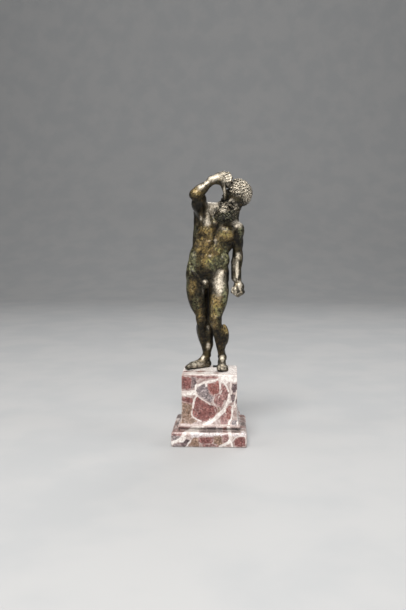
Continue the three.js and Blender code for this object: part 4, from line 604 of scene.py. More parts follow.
def torso():
    S = Solid()
    lean = [unit(vec(1, 0, -0.25)), vec(0, 1, 0), unit(vec(0.25, 0, 1))]
    hips = [unit(vec(1, 0, -0.12)), vec(0, 1, 0), unit(vec(0.12, 0, 1))]
    # pelvis and waist
    S.ell(vec(-2.0, 4.8, 122.5), (14.0, 8.4, 10.0), hips, 2.0)
    S.ell(vec(-11.9, 5.4, 125.2), (6.0, 7.2, 13.0), hips, 2.8)
    S.ell(vec(8.0, 5.2, 121.0), (5.9, 6.8, 9.5), hips, 2.5)
    S.ell(vec(-0.8, 4.4, 137.0), (13.2, 8.4, 10.5), lean, 4.0)
    # chest
    S.ell(vec(2.6, 3.6, 149.5), (14.6, 9.2, 14.0), lean, 4.0)
    S.ell(vec(5.0, 4.0, 159.0), (14.0, 7.6, 8.5), lean, 3.5)
    # belly
    S.ell(vec(-1.8, 0.4, 128.0), (9.0, 6.9, 9.2), hips, 3.0)
    S.ell(vec(-0.2, 0.2, 137.0), (8.6, 5.9, 10.0), lean, 3.0)
    for h in (1, -1):
        S.ell(mix(STERNUM, NAVEL, 0.5) + vec(h * 3.4, 1.3, 0), (3.6, 2.6, 10.0), lean, 2.0)
    # flanks over the hip crests
    S.ell(vec(-9.6, 3.6, 136.0), (5.6, 7.4, 7.0), lean, 2.6)
    S.ell(vec(9.0, 3.6, 131.8), (5.2, 7.0, 6.4), lean, 2.4)
    # breast, and where it runs out to the arms
    S.ell(vec(-0.8, -1.2, 154.4), (6.4, 4.6, 6.0), [unit(vec(1, 0.1, -0.5)), unit(vec(-0.1, 1, 0.12)), unit(vec(0.5, 0, 1))], 1.4)
    S.ell(vec(11.4, -1.2, 150.8), (6.8, 4.6, 5.8), [unit(vec(1, -0.1, -0.15)), unit(vec(0.1, 1, 0.12)), unit(vec(0.15, 0, 1))], 1.4)
    S.cone(vec(-1.6, -0.6, 156.5), SHOULDER_R + vec(-0.6, -3.2, 0.5), 4.4, 4.4, 2.0)
    S.cone(vec(13.5, -0.4, 153.5), SHOULDER_L + vec(-1.5, -1.6, -0.2), 3.8, 3.6, 1.6)
    # sides under the arms
    S.cone(vec(-9.2, 5.2, 153.0), vec(-8.2, 3.6, 166.5), 3.4, 4.2, 2.0)
    S.ell(vec(-8.0, 5.2, 150.0), (4.8, 6.6, 10.5), lean, 2.0)
    S.ell(vec(14.0, 5.0, 148.0), (4.6, 6.0, 10.5), lean, 2.0)
    # shoulder blades, long muscles of the back, seat
    S.ell(vec(-2.0, 9.6, 158.0), (6.2, 3.2, 7.0), lean, 2.4)
    S.ell(vec(13.6, 9.4, 153.5), (6.0, 3.2, 7.0), lean, 2.4)
    S.cone(vec(3.4, 9.8, 158.0), vec(-4.6, 10.0, 128.0), 2.8, 2.6, 2.4)
    S.cone(vec(8.6, 9.8, 157.0), vec(1.0, 10.0, 127.5), 2.8, 2.6, 2.4)
    S.ell(vec(-9.0, 9.8, 119.0), (7.2, 6.6, 8.2), hips, 2.2)
    S.ell(vec(4.6, 9.8, 116.6), (7.0, 6.4, 8.0), hips, 2.2)
    # neck and the slopes to the shoulders
    S.cone(vec(10.0, 4.8, 161.0), vec(17.0, 3.0, 176.0), 6.6, 5.9, 2.5)
    S.cone(vec(15.2, 5.2, 160.0), vec(17.6, 4.4, 171.0), 5.2, 4.4, 2.0)
    S.cone(vec(5.5, 5.2, 169.6), vec(14.4, 5.0, 176.2), 4.3, 3.8, 2.4)
    S.cone(vec(5.5, 4.6, 169.4), SHOULDER_R + vec(3.4, 0.6, 1.8), 4.8, 5.2, 2.0)
    S.cone(vec(3.0, 8.2, 163.0), vec(-5.0, 6.4, 164.5), 3.6, 4.4, 2.4)
    S.cone(vec(11.5, 5.2, 162.0), vec(19.0, 4.0, 156.8), 4.8, 3.8, 2.4)
    return S


# the drawn lines of the trunk: soft grooves and ridges
def creases(S):
    # middle line, navel
    S.stroke(drape(S, [(8.0, 159.8), (5.0, 153.5), (3.2, 146.6)], -1), 1.3, 0.7, 0.2)
    S.stroke(drape(S, [(3.0, 145.0), (1.8, 141.0), (-0.2, 137.2)], -1), 1.0, 0.6, 0.15)
    S.stroke(drape(S, [(-0.6, 134.6), (-2.4, 126.0)], -1), 0.9, 0.25)
    S.ell(NAVEL + vec(0, -1.3, 0), (0.8, 1.5, 1.0), hips_axes(), 0.6, -1)
    S.ell(STERNUM + vec(0.0, -0.6, -1.4), (1.3, 1.6, 1.6), hips_axes(), 1.5, -1)
    # under the breasts
    S.stroke(drape(S, [(2.2, 147.2), (-1.8, 147.4), (-5.6, 149.2), (-8.8, 153.0)], -1), 1.2, 0.75)
    S.stroke(drape(S, [(4.4, 146.0), (9.5, 143.9), (14.4, 144.8), (17.2, 148.0)], -1), 1.2, 0.75)
    # the pit of the raised arm, the fold of the breast before it and of the back behind it
    S.stroke(drape(S, [(-4.4, 171.0), (-4.5, 164.0), (-6.0, 157.5), (-8.4, 152.0)], -1), 1.1, 1.0, 0.25)
    S.stroke(drape(S, [(-2.0, 168.0), (-2.2, 161.5), (-3.6, 156.0)], -1), 1.3, -0.55)
    S.stroke(drape(S, [(-7.2, 168.0), (-7.2, 163.0), (-8.8, 156.0)], -1), 1.2, -0.4)
    # rib arch
    S.stroke(drape(S, [(1.4, 143.8), (-1.6, 140.0), (-5.6, 137.0), (-9.8, 136.4)], -1), 1.5, 0.55)
    S.stroke(drape(S, [(4.6, 143.4), (7.6, 139.6), (10.2, 136.4), (12.0, 134.4)], -1), 1.5, 0.5)
    # belly's cross lines
    for s in (0.16, 0.33):
        mid = mix(STERNUM, PUBIS, s)
        S.stroke(drape(S, [(mid[0] - 5.6, mid[2] + 0.9), (mid[0] - 2.8, mid[2] + 0.1), (mid[0], mid[2] + 0.3), (mid[0] + 2.8, mid[2] + 0.1), (mid[0] + 5.6, mid[2] + 0.5)], -1), 1.0, 0.34)
    # outer edges of the belly's straight muscle
    S.stroke(drape(S, [(-7.6, 136.0), (-8.4, 130.0), (-7.0, 123.4)], -1), 1.5, 0.4)
    S.stroke(drape(S, [(7.6, 134.4), (7.0, 128.0), (3.4, 121.2)], -1), 1.5, 0.4)
    # groin and the lower edge of the belly
    S.stroke(drape(S, [(-5.6, 118.4), (-8.4, 120.6), (-12.6, 126.0), (-15.0, 130.4)], -1), 1.1, 0.85)
    S.stroke(drape(S, [(-1.4, 117.6), (3.2, 119.0), (8.0, 124.0), (11.6, 127.8)], -1), 1.1, 0.85)
    S.stroke(drape(S, [(-8.4, 121.8), (-3.6, 120.2), (2.0, 121.4)], -1), 1.1, 0.4)
    # spine, cleft and under the seat
    S.stroke(drape(S, [(8.2, 166.0), (7.2, 160.0), (5.6, 152.0), (2.0, 140.0), (-1.6, 127.5)], 1), 1.5, 0.9, 0.15)
    S.stroke([vec(-2.2, 13.6, 126.0), vec(-2.4, 16.0, 119.0), vec(-2.8, 14.0, 112.5), vec(-3.0, 10.0, 109.6)], 1.0, 1.7, 0.15)
    S.stroke(drape(S, [(-3.6, 111.4), (-8.0, 110.6), (-13.0, 112.6)], 1), 1.2, 0.8)
    S.stroke(drape(S, [(-1.8, 109.4), (3.0, 108.4), (8.4, 110.4)], 1), 1.2, 0.7)
    # hollows beside the seat and in the small of the back
    S.ell(vec(-19.6, 11.4, 119.5), (4.0, 4.4, 5.6), hips_axes(), 3.0, -1)
    S.ell(vec(14.6, 11.4, 116.6), (4.0, 4.4, 5.6), hips_axes(), 3.0, -1)
    for x in (-4.8, 1.4):
        S.ell(vec(x, 14.4, 128.4), (1.2, 1.2, 1.2), hips_axes(), 1.4, -1)
    # shoulder blades and the long muscles between them
    S.stroke(drape(S, [(3.4, 163.4), (1.8, 158.0), (-1.4, 152.6), (-6.6, 150.6)], 1), 1.6, 0.6)
    S.stroke(drape(S, [(10.4, 161.0), (10.2, 155.0), (12.6, 149.4), (16.4, 148.0)], 1), 1.6, 0.6)
    S.stroke(drape(S, [(-3.6, 149.0), (-6.2, 140.0), (-8.2, 132.0)], 1), 1.8, 0.5)
    S.stroke(drape(S, [(9.4, 148.0), (6.4, 138.0), (4.6, 131.0)], 1), 1.8, 0.5)
    # ribs at the sides
    for i in range(4):
        z = 148.0 - 3.3 * i
        S.stroke([vec(-12.0 + 0.1 * i, 2.5, z + 1.8), vec(-10.8 + 0.3 * i, -0.6, z + 0.8), vec(-8.6 + 0.5 * i, -3.0, z - 0.4)], 1.0, 0.30)
        S.stroke([vec(16.6 - 0.7 * i, 2.5, z - 1.6), vec(15.4 - 0.8 * i, -0.6, z - 2.6), vec(13.2 - 0.9 * i, -3.0, z - 3.8)], 1.0, 0.30)
    # collar bones, pit of the neck, nipples
    S.stroke(drape(S, [(6.4, 163.0), (2.4, 166.4), (-2.0, 170.4)], -1), 1.1, -0.6)
    S.stroke(drape(S, [(10.2, 162.2), (14.2, 161.2), (18.4, 159.6)], -1), 1.1, -0.6)
    S.ell(NECK_PIT + vec(0.2, -1.0, 0.8), (1.5, 1.6, 1.4), hips_axes(), 1.2, -1)
    S.stroke(drape(S, [(-3.4, 151.6), (-3.3, 151.6)], -1), 0.6, -0.4, 0)
    S.stroke(drape(S, [(12.6, 148.0), (12.7, 148.0)], -1), 0.6, -0.4, 0)


# a line laid on the body where it is seen at the points (x, z) from in front (side -1) or behind (1)
def drape(S, points, side):
    line = []
    for x, z in points:
        line.append(trace(S, vec(x, 4.0, z), [vec(0, side, 0)])[0])
    return line


def hips_axes():
    return [vec(1, 0, 0), vec(0, 1, 0), vec(0, 0, 1)]


def upper_arm(S, B, raised):
    S.cone(at(B, 0.0, 0, 0), at(B, 0.98, 0, 0), 4.6, 3.5, 1.6)
    if raised:
        muscle(S, B, 0.08, 0.6, 1.2, (5.2, 5.0, 8.0), 1.6)
        muscle(S, B, 0.62, -1.9, 1.2, (4.4, 3.8, 7.0), 1.4)
        muscle(S, B, 0.50, 1.5, -1.6, (5.1, 4.4, 8.4), 1.4, 0, -4)
    else:
        muscle(S, B, 0.10, 0.7, 0.0, (4.2, 4.8, 6.2), 1.4, -4)
        muscle(S, B, 0.58, -0.2, 1.7, (3.2, 3.0, 6.8), 1.1)
        muscle(S, B, 0.52, 0.5, -1.9, (3.5, 3.1, 7.6), 1.1)
        S.stroke([at(B, 0.18, 4.8, 3.6), at(B, 0.42, 4.2, 0.6), at(B, 0.30, 4.2, -2.6)], 1.0, 0.45)
        S.stroke([at(B, 0.42, 3.6, 0.2), at(B, 0.80, 3.4, 0.0)], 0.9, 0.35)


def forearm(S, C):
    S.cone(at(C, 0.02, 0, 0), at(C, 0.98, 0, 0), 3.5, 2.4, 1.6)
    muscle(S, C, 0.24, 1.6, 0.7, (2.7, 2.7, 6.6), 1.2, -5)
    muscle(S, C, 0.28, -1.6, -0.4, (2.6, 2.6, 6.4), 1.2, 5)
    muscle(S, C, 0.30, 0.2, -1.5, (2.7, 2.3, 6.8), 1.2, 0, 3)
    S.ell(at(C, 0.0, 0, -2.5), (1.7, 1.6, 2.1), axes_of(C, 0, 0), 1.0)  # point of the elbow
    for h in (1, -1):
        S.cone(at(C, 0.70, 0.9 * h, 0.0), at(C, 1.0, 1.2 * h, 0.0), 1.8, 1.8, 1.0)


# his left arm hangs, the fist closed: palm to the thigh, thumb in front
def arm_left():
    S = Solid()
    B = bone(SHOULDER_L, ELBOW_L, vec(-0.2, -1, 0), vec(1, -0.2, 0))
    C = bone(ELBOW_L, WRIST_L, vec(-0.3, -1, 0), vec(1, -0.3, 0))
    upper_arm(S, B, False)
    forearm(S, C)
    W, down = WRIST_L, unit(vec(0.13, -0.12, -1))
    out, fore = unit(vec(1, -0.25, 0)), unit(vec(-0.25, -1, 0))
    S.cone(vec(18.1, 5.2, 131.0), vec(18.0, 2.6, 119.0), 2.9, 2.6, 1.4)  # the forearm's inner side
    S.cone(W, W + down * 4.0, 2.4, 2.8, 1.0)
    S.ell(W + down * 6.0 + out * 0.2, (4.2, 4.2, 4.9), [out, fore, down], 1.0)
    for i in range(4):
        row, drop = fore * (2.9 - 1.95 * i), 0.3 * abs(i - 1)
        k0 = W + down * (9.7 - drop) + out * 2.5 + row
        k1 = W + down * (11.6 - drop * 1.4) - out * 0.7 + row * 0.96
        k2 = W + down * (9.0 - drop) - out * 4.2 + row * 0.94
        k3 = W + down * (6.2 - drop * 0.5) - out * 3.3 + row * 0.9
        S.chain([W + down * 6.4 + out * 1.8 + row * 0.9, k0, k1, k2, k3], [1.3, 1.4, 1.35, 1.2, 1.05], 0.3)
    S.chain([W + down * 3.2 + fore * 2.6 - out * 0.4, W + down * 7.2 + fore * 4.9 - out * 0.9, W + down * 10.2 + fore * 4.2 - out * 1.9], [1.7, 1.45, 1.25], 0.5)
    return S


# his right arm is raised, the back of the hand laid against the brow: the palm is turned to
# the viewer, the fingers are loosely bent and the thumb hangs down along the temple
def arm_right():
    S = Solid()
    B = bone(SHOULDER_R, ELBOW_R, vec(0.6, -0.2, 1), vec(-1, -0.3, -0.4))
    C = bone(ELBOW_R, WRIST_R, vec(0.1, 1, -0.6), vec(-0.6, -0.4, 1))
    upper_arm(S, B, True)
    forearm(S, C)
    S.ell(ELBOW_R + vec(-1.5, -0.6, -0.6), (3.4, 3.2, 3.6), hips_axes(), 1.4)
    W, fwd = WRIST_R, unit(vec(1, 0.12, 0.16))  # from the wrist to the knuckles
    lean = vec(-0.16, 0.10, 1)
    broad = unit(lean - fwd * dot(lean, fwd))  # from the forefinger to the little finger
    palm = cross(fwd, broad)  # out of the palm
    ax = [fwd, broad, palm]
    S.cone(W - fwd * 0.5, W + fwd * 3.4 + broad * 0.7, 2.9, 2.9, 1.0)
    S.ell(W + fwd * 5.6 + broad * 0.8 - palm * 0.7, (5.0, 4.0, 2.5), ax, 1.2)  # the palm's mass
    S.ell(W + fwd * 8.6 + broad * 1.1 - palm * 0.8, (3.4, 3.7, 2.1), ax, 1.0)
    S.ell(W + fwd * 9.4 - broad * 3.4 - palm * 2.6, (3.2, 4.0, 3.2), ax, 1.4)  # the hand's back, against the hair
    S.cone(vec(0.6, -8.9, 189.8), vec(8.4, -8.0, 189.2), 2.5, 3.1, 1.2)  # underside of the wrist
    for i in range(4):
        row = W + broad * (3.1 - 1.85 * i)
        reach = 0.2 - 0.62 * abs(i - 1.9)
        k0 = row + fwd * 8.4 - palm * 0.4
        k1 = row + fwd * (12.0 + reach) - palm * 0.2 - broad * 0.3
        k2 = row + fwd * (12.2 + reach) + palm * 1.9 - broad * 0.9
        k3 = row + fwd * (8.7 + reach * 0.6) + palm * 2.5 - broad * (1.7 - 0.2 * i)
        S.chain([row + fwd * 6.0 - palm * 0.6, k0, k1, k2, k3], [1.15, 1.25, 1.16, 1.1, 1.0], 0.38)
    # ball of the thumb, and the thumb
    S.ell(W + fwd * 5.0 - broad * 2.0 + palm * 1.2, (2.6, 3.6, 1.9), ax, 1.0)
    S.chain([W + fwd * 5.4 - broad * 3.0 + palm * 1.0, vec(9.9, -8.7, 184.4), vec(11.0, -7.7, 180.2), vec(10.9, -6.6, 176.9)], [2.2, 1.55, 1.3, 1.05], 0.6)
    return S


# left, forward and up of the turned, leaning and bowed head
def head_axes():
    a, b, c = math.radians(HEAD_TURN), math.radians(HEAD_LEAN), math.radians(HEAD_BOW)
    fwd = vec(-math.sin(a) * math.cos(c), -math.cos(a) * math.cos(c), -math.sin(c))
    # up is square to it, and leans by b as seen from the front
    q = math.tan(b)
    up = unit(vec(q, (q * math.sin(a) * math.cos(c) + math.sin(c)) / (-math.cos(a) * math.cos(c)), 1))
    return [cross(fwd, up), fwd, up]


def head(fine):
    S = Solid()
    ax = head_axes()

    def p(a, b, c):
        return CRANIUM + ax[0] * a + ax[1] * b + ax[2] * c

    S.ell(p(0, -0.8, 0.6), (7.3, 8.6, 7.6), ax, 1.5)  # skull
    S.ell(p(0, 2.8, -3.8), (5.9, 5.3, 7.2), ax, 2.0)
    S.ell(p(0, 4.2, -9.2), (3.9, 3.6, 3.1), ax, 1.8)  # jaw
    S.ell(p(0, 5.6, 1.4), (5.0, 2.5, 2.8), ax, 1.5)  # forehead
    for h in (1, -1):
        S.ell(p(2.75 * h, 9.0, -2.0), (1.75, 1.5, 1.05), ax, 1.2, -1)  # socket
        S.stroke([p(1.0 * h, 8.4, -0.6), p(2.8 * h, 8.3, -0.25), p(4.7 * h, 6.6, -1.1)], 0.8, -0.35)  # brow
        S.ell(p(2.75 * h, 6.5, -1.95), (1.6, 1.4, 1.25), ax, 0.12)  # eye, under its lid
        S.ell(p(3.8 * h, 6.0, -4.4), (1.9, 1.6, 1.7), ax, 1.3)  # cheek
        if fine:
            S.stroke([p(1.4 * h, 7.9, -2.2), p(2.7 * h, 8.0, -2.45), p(4.1 * h, 7.1, -2.25)], 0.17, 0.17)  # between the lids
            S.stroke([p(1.4 * h, 8.0, -2.0), p(2.7 * h, 8.1, -2.15), p(4.1 * h, 7.2, -2.0)], 0.2, -0.13)
            S.stroke([p(1.4 * h, 8.0, -1.5), p(2.7 * h, 8.1, -1.15), p(4.2 * h, 7.2, -1.4)], 0.2, 0.13)  # over the lid
    # nose and mouth
    S.cone(p(0, 7.3, -0.2), p(0, 7.9, -1.8), 1.3, 0.9, 1.0)
    S.cone(p(0, 7.8, -1.4), p(0, 9.4, -4.9), 0.75, 0.85, 0.9)
    S.ell(p(0, 9.35, -5.1), (0.95, 0.95, 0.85), ax, 0.5)
    for h in (1, -1):
        S.ell(p(0.95 * h, 8.7, -5.3), (0.7, 0.95, 0.62), ax, 0.4)
    S.ell(p(0, 7.4, -7.3), (2.7, 1.5, 1.9), ax, 1.0)
    S.ell(p(0, 8.6, -7.1), (1.5, 0.62, 0.42), ax, 0.35)
    S.ell(p(0, 8.4, -8.05), (1.25, 0.65, 0.5), ax, 0.35)
    S.stroke([p(-1.7, 8.3, -7.6), p(0, 9.1, -7.5), p(1.7, 8.3, -7.6)], 0.22, 0.32)
    hair(S, p, ax, fine)
    beard(S, p, ax, fine)
    return S


# directions spread evenly over the sphere
def directions(n):
    out = []
    for i in range(n):
        c = 1 - 2 * (i + 0.5) / n
        r = math.sqrt(1 - c * c)
        a = math.pi * (3 - math.sqrt(5)) * i
        out.append(vec(r * math.cos(a), r * math.sin(a), c))
    return out


# a cap of thick short hair, low over the brow and to below the ears, all in curls
def hair(S, p, ax, fine):
    cap = Solid()
    cap.ell(p(0, -1.2, 0.9), (7.5, 8.5, 7.2), ax, 1.5)
    cap.ell(p(2.2, -1.4, 2.0), (6.1, 7.1, 6.5), ax, 1.5)
    cap.ell(p(4.4, -0.4, 3.6), (4.4, 6.0, 4.6), ax, 1.5)
    cap.ell(p(0, 4.6, 3.0), (5.6, 4.0, 3.6), ax, 1.5)  # over the brow
    cap.ell(p(5.9, -1.2, -2.6), (2.5, 4.1, 4.2), ax, 2.0)  # over the ears
    cap.ell(p(-5.7, -1.2, -1.7), (2.1, 4.0, 3.0), ax, 2.0)
    cap.ell(p(0.6, -6.4, -4.2), (4.6, 2.8, 4.2), ax, 2.0)  # nape
    cap.ell(p(0, 11.6, -6.4), (5.6, 8.6, 8.0), ax, 1.2, -1)  # the face's opening
    S.join(cap, 0.5)
    ways, seeds = [], []
    for i, way in enumerate(directions(HAIR_CURLS)):
        low = -0.70 + (0.76 * way[1] if way[1] > 0 else 0.0)
        if way[2] > low:
            ways.append(ax[0] * way[0] + ax[1] * way[1] + ax[2] * way[2])
            seeds.append(i)
    spots = trace(cap, p(0, -1.2, 0.4), ways)
    for i in range(len(ways)):
        curl(S, spots[i], ways[i], 1.22 + 0.2 * math.sin(seeds[i] * 2.3), seeds[i], fine)


# one curl: a lock that winds inwards and rises from spot along way
def curl(S, spot, way, size, seed, fine):
    if not fine:
        S.ell(spot + way * 0.35, (size * 1.15, size * 1.15, size * 1.1), hips_axes(), 0.35)
        return
    turn, hand = seed * 2.39996, (1 if (seed * 7) % 5 < 3 else -1)
    e1 = unit(cross(way, vec(0.3, 0.2, 1)))
    e2 = cross(way, e1)
    off = e1 * (0.30 * math.sin(seed * 1.7)) + e2 * (0.30 * math.cos(seed * 2.9))
    pts, rads = [], []
    for j in range(7):
        t = j / 6
        a = turn + hand * t * 6.4
        r = size * (0.92 - 0.80 * t)
        pts.append(spot + off + e1 * (math.cos(a) * r) + e2 * (math.sin(a) * r) + way * (0.10 + 1.0 * t))
        rads.append(0.56 - 0.13 * t)
    S.chain(pts, rads, 0.10)


# a short broad beard of curls, and the moustache
def beard(S, p, ax, fine):
    mass = Solid()
    mass.chain([p(-6.2, 1.6, -3.6), p(-5.8, 1.8, -6.0), p(-5.2, 3.6, -8.8), p(-3.2, 5.6, -11.2), p(0, 6.4, -12.0), p(3.2, 5.6, -11.2), p(5.6, 3.6, -8.8), p(6.6, 1.6, -5.8), p(7.0, 1.4, -3.2)], [1.3, 1.8, 2.3, 2.6, 2.8, 2.6, 2.3, 1.8, 1.3], 1.0)
    mid = p(0, 6.4, -12.0) + vec(-0.7, -2.6, -4.5)
    mass.ell(mid, (7.6, 3.8, 4.8), hips_axes(), 1.5)
    S.join(mass, 0.8)
    ways, seeds = [], []
    for i, way in enumerate(directions(BEARD_CURLS)):
        high = dot(way, ax[2])
        wide = abs(dot(way, ax[0]))
        if way[1] < 0.35 and high < 0.85:
            ways.append(way)
            seeds.append(i + 31)
    spots = trace(mass, mid + vec(0.0, 3.4, 2.2), ways)
    for i in range(len(ways)):
        place = spots[i] - CRANIUM
        if dot(place, ax[2]) < -9.3 or abs(dot(place, ax[0])) > 4.4:
            curl(S, spots[i], ways[i], 1.0 + 0.16 * math.sin(seeds[i] * 2.3), seeds[i], fine)
    for h in (1, -1):
        S.chain([p(0.6 * h, 9.0, -5.9), p(2.4 * h, 8.5, -6.1), p(4.2 * h, 7.2, -7.0), p(5.3 * h, 5.6, -8.2)], [0.36, 0.5, 0.45, 0.34], 0.12)
        S.chain([p(0.3 * h, 9.3, -6.2), p(1.9 * h, 9.0, -6.7), p(3.5 * h, 8.0, -7.9), p(4.7 * h, 6.7, -9.3)], [0.45, 0.6, 0.55, 0.38], 0.12)
        S.chain([p(0.5 * h, 9.3, -6.6), p(1.9 * h, 8.8, -7.3), p(3.0 * h, 8.0, -8.7), p(3.6 * h, 7.3, -10.1)], [0.42, 0.5, 0.45, 0.34], 0.12)


def loins():
    S = Solid()
    S.ell(PUBIS + vec(0, -0.6, -1.0), (2.6, 2.0, 2.2), hips_axes(), 1.0)
    S.chain([PUBIS + vec(0, -1.8, -1.4), PUBIS + vec(0.2, -2.8, -3.0), PUBIS + vec(0.3, -2.9, -4.6)], [1.3, 1.1, 0.95], 0.5)
    S.ell(PUBIS + vec(-1.1, -1.2, -4.4), (1.5, 1.6, 2.0), hips_axes(), 0.5)
    S.ell(PUBIS + vec(1.4, -1.2, -4.1), (1.4, 1.6, 1.8), hips_axes(), 0.3)
    return S


# the whole cast figure as one body
def figure(fine):
    body = torso()
    body.join(leg_right(fine), 2.0)
    body.join(leg_left(fine), 0.8)
    creases(body)
    body.join(loins(), 0.7)
    body.join(arm_right(), 2.2)
    body.join(arm_left(), 0.8)
    body.join(head(fine), 1.2)
    return body


# ---- the cast's fine surface ---------------------------------------------------------------
def lump_noise(p, scale, seed):
    """Smooth value noise from -1 to 1 at points p, with lumps of about scale."""
    q = p / scale + seed * 17.31
    i = np.floor(q).astype(np.int64)
    f = q - i
    f = f * f * (3 - 2 * f)
    out = np.zeros(len(p))
    for a in (0, 1):
        for b in (0, 1):
            for c in (0, 1):
                n = (i[:, 0] + a) * 374761393 + (i[:, 1] + b) * 668265263 + (i[:, 2] + c) * 2147483647 + seed * 1274126177
                n = (n ^ (n >> 13)) * 1274126177
                n = (n ^ (n >> 16)) & 0xFFFF
                w = np.abs(1 - a - f[:, 0]) * np.abs(1 - b - f[:, 1]) * np.abs(1 - c - f[:, 2])
                out += w * (n / 32767.5 - 1)
    return out


def weld_mesh(name, verts, faces):
    """A Blender mesh of numpy vertices in millimetres and faces of one size."""
    mesh = bpy.data.meshes.new(name)
    mesh.vertices.add(len(verts))
    mesh.vertices.foreach_set("co", (verts * 0.001).astype(np.float32).ravel())
    k = faces.shape[1]
    mesh.loops.add(faces.size)
    mesh.loops.foreach_set("vertex_index", faces.astype(np.int32).ravel())
    mesh.polygons.add(len(faces))
    mesh.polygons.foreach_set("loop_start", np.arange(0, faces.size, k, dtype=np.int32))
    mesh.polygons.foreach_set("loop_total", np.full(len(faces), k, np.int32))
    mesh.update()
    mesh.validate()
    return mesh


def link(name, mesh):
    obj = bpy.data.objects.new(name, mesh)
    bpy.context.scene.collection.objects.link(obj)
    return obj


def points_of(mesh):
    co = np.empty(len(mesh.vertices) * 3, np.float32)
    mesh.vertices.foreach_get("co", co)
    return co.reshape(-1, 3).astype(np.float64)


def normals_of(mesh):
    no = np.empty(len(mesh.vertices) * 3, np.float32)
    mesh.vertices.foreach_get("normal", no)
    return no.reshape(-1, 3).astype(np.float64)


def apply_modifiers(obj):
    deps = bpy.context.evaluated_depsgraph_get()
    done = bpy.data.meshes.new_from_object(obj.evaluated_get(deps))
    obj.modifiers.clear()
    old = obj.data
    obj.data = done
    bpy.data.meshes.remove(old)
    return obj


def attribute(mesh, name, values):
    a = mesh.attributes.get(name) or mesh.attributes.new(name, "FLOAT", "POINT")
    a.data.foreach_set("value", np.asarray(values, np.float32))


def in_blocks(verts, cell=5.0):
    keys = np.floor(verts / cell).astype(int) @ np.array([1000003, 1009, 1])
    order = np.argsort(keys, kind="stable")
    return np.split(order, np.flatnonzero(np.diff(keys[order])) + 1)


def openness(solid, verts, normals, reach):
    """How open the space in front of each point is: 1 on a bulge, under 0.5 in a fold."""
    out = np.zeros(len(verts))
    for part in in_blocks(verts):
        total = 0
        for h in reach:
            q = verts[part] + normals[part] * h
            d = distance(solid, q.astype(F32), q.min(0), q.max(0))
            total = total + np.clip(d / h, 0, 1)
        out[part] = total / len(reach)
    return out


def bulge(solid, verts, normals, reach):
    """How sharply the body falls away behind each point: over 0.5 on a ridge or a curl's crest."""
    out = np.zeros(len(verts))
    for part in in_blocks(verts):
        total = 0
        for h in reach:
            q = verts[part] - normals[part] * h
            d = distance(solid, q.astype(F32), q.min(0), q.max(0))
            total = total + np.clip(1 + d / h, 0, 1)
        out[part] = total / len(reach)
    return out


def patches(verts, normals, spots):
    """The strongest of several soft-edged patches at each point: (x, z, half-width, half-height, strength, facing)."""
    out = np.zeros(len(verts))
    for x, z, w, h, strength, facing in spots:
        r2 = ((verts[:, 0] - x) / w) ** 2 + ((verts[:, 2] - z) / h) ** 2
        side = np.clip(-normals[:, 1] * facing * 1.5 + 0.5, 0, 1)
        out = np.maximum(out, strength * np.exp(-r2) * side)
    return out


def build_figure():
    step = VOXEL
    body = figure(True)
    grid, lo = sample(body, (-22.0, -24.0, SOLE - 1.1 * step), (36.0, 21.0, 199.5), step)
    z = lo[2] + np.arange(grid.shape[2]) * step
    grid = np.maximum(grid, (SOLE - z)[None, None, :].astype(F32))
    verts, faces = nets(grid, lo, step)
    del grid
    low = verts[:, 2] < SOLE + 0.15
    moved, normals = project(body, verts, rounds=1, most=step * 0.7)
    moved[low] = verts[low]
    moved[low, 2] = SOLE
    mesh = weld_mesh("bronze_cast", moved, faces)
    obj = link("bronze_cast", mesh)
    keep_largest(obj)
    thin = obj.modifiers.new("thin", "DECIMATE")
    thin.ratio = min(1.0, FIGURE_TRIANGLES / (2.0 * len(obj.data.polygons)))
    apply_modifiers(obj)
    mesh = obj.data
    verts = points_of(mesh) * 1000
    flat = verts[:, 2] < SOLE + 0.06
    verts, normals = project(body, verts, rounds=1, most=0.08)
    verts = verts.astype(np.float64)
    # what the patina follows: folds, ridges, the places that hands and cleaning have rubbed, and the painted highlights
    # and painted shade
    fold = openness(body, verts, normals, (0.8, 2.0, 5.0))
    ridge = bulge(body, verts, normals, (1.0, 3.0))
    detail = openness(body, verts, normals, (0.35,))
    # the skin's unevenness: soft waves from the wax, and casting pits
    wave = lump_noise(verts, 3.1, 3) * 0.07 + lump_noise(verts, 1.3, 5) * 0.035
    pit = np.clip(lump_noise(verts, 0.85, 11) - 0.52, 0, 1) * 0.45
    calm = np.where(flat, 0, 1)
    verts = verts + normals * ((wave - pit) * calm)[:, None]
    verts[:, 1] += BACK
    verts[flat, 2] = SOLE
    low_corner, high_corner = CAD_BOX
    verts = np.clip(verts, np.array(low_corner) * 1000, np.array(high_corner) * 1000)
    mesh.vertices.foreach_set("co", (verts * 0.001).astype(np.float32).ravel())
    mesh.update()
    attribute(mesh, "fold", fold)
    attribute(mesh, "ridge", ridge)
    attribute(mesh, "detail", detail)
    attribute(mesh, "rubbed_and_highlight", patches(verts, normals, RUBBED_AND_HIGHLIGHTS))
    attribute(mesh, "gold", patches(verts, normals, GOLD))
    attribute(mesh, "green", patches(verts, normals, GREEN))
    # the near-black patches: dark patina, and painted shade and shadow
    attribute(mesh, "dark", patches(verts, normals, DARK_AND_SHADE))
    mesh.shade_smooth()
    return obj


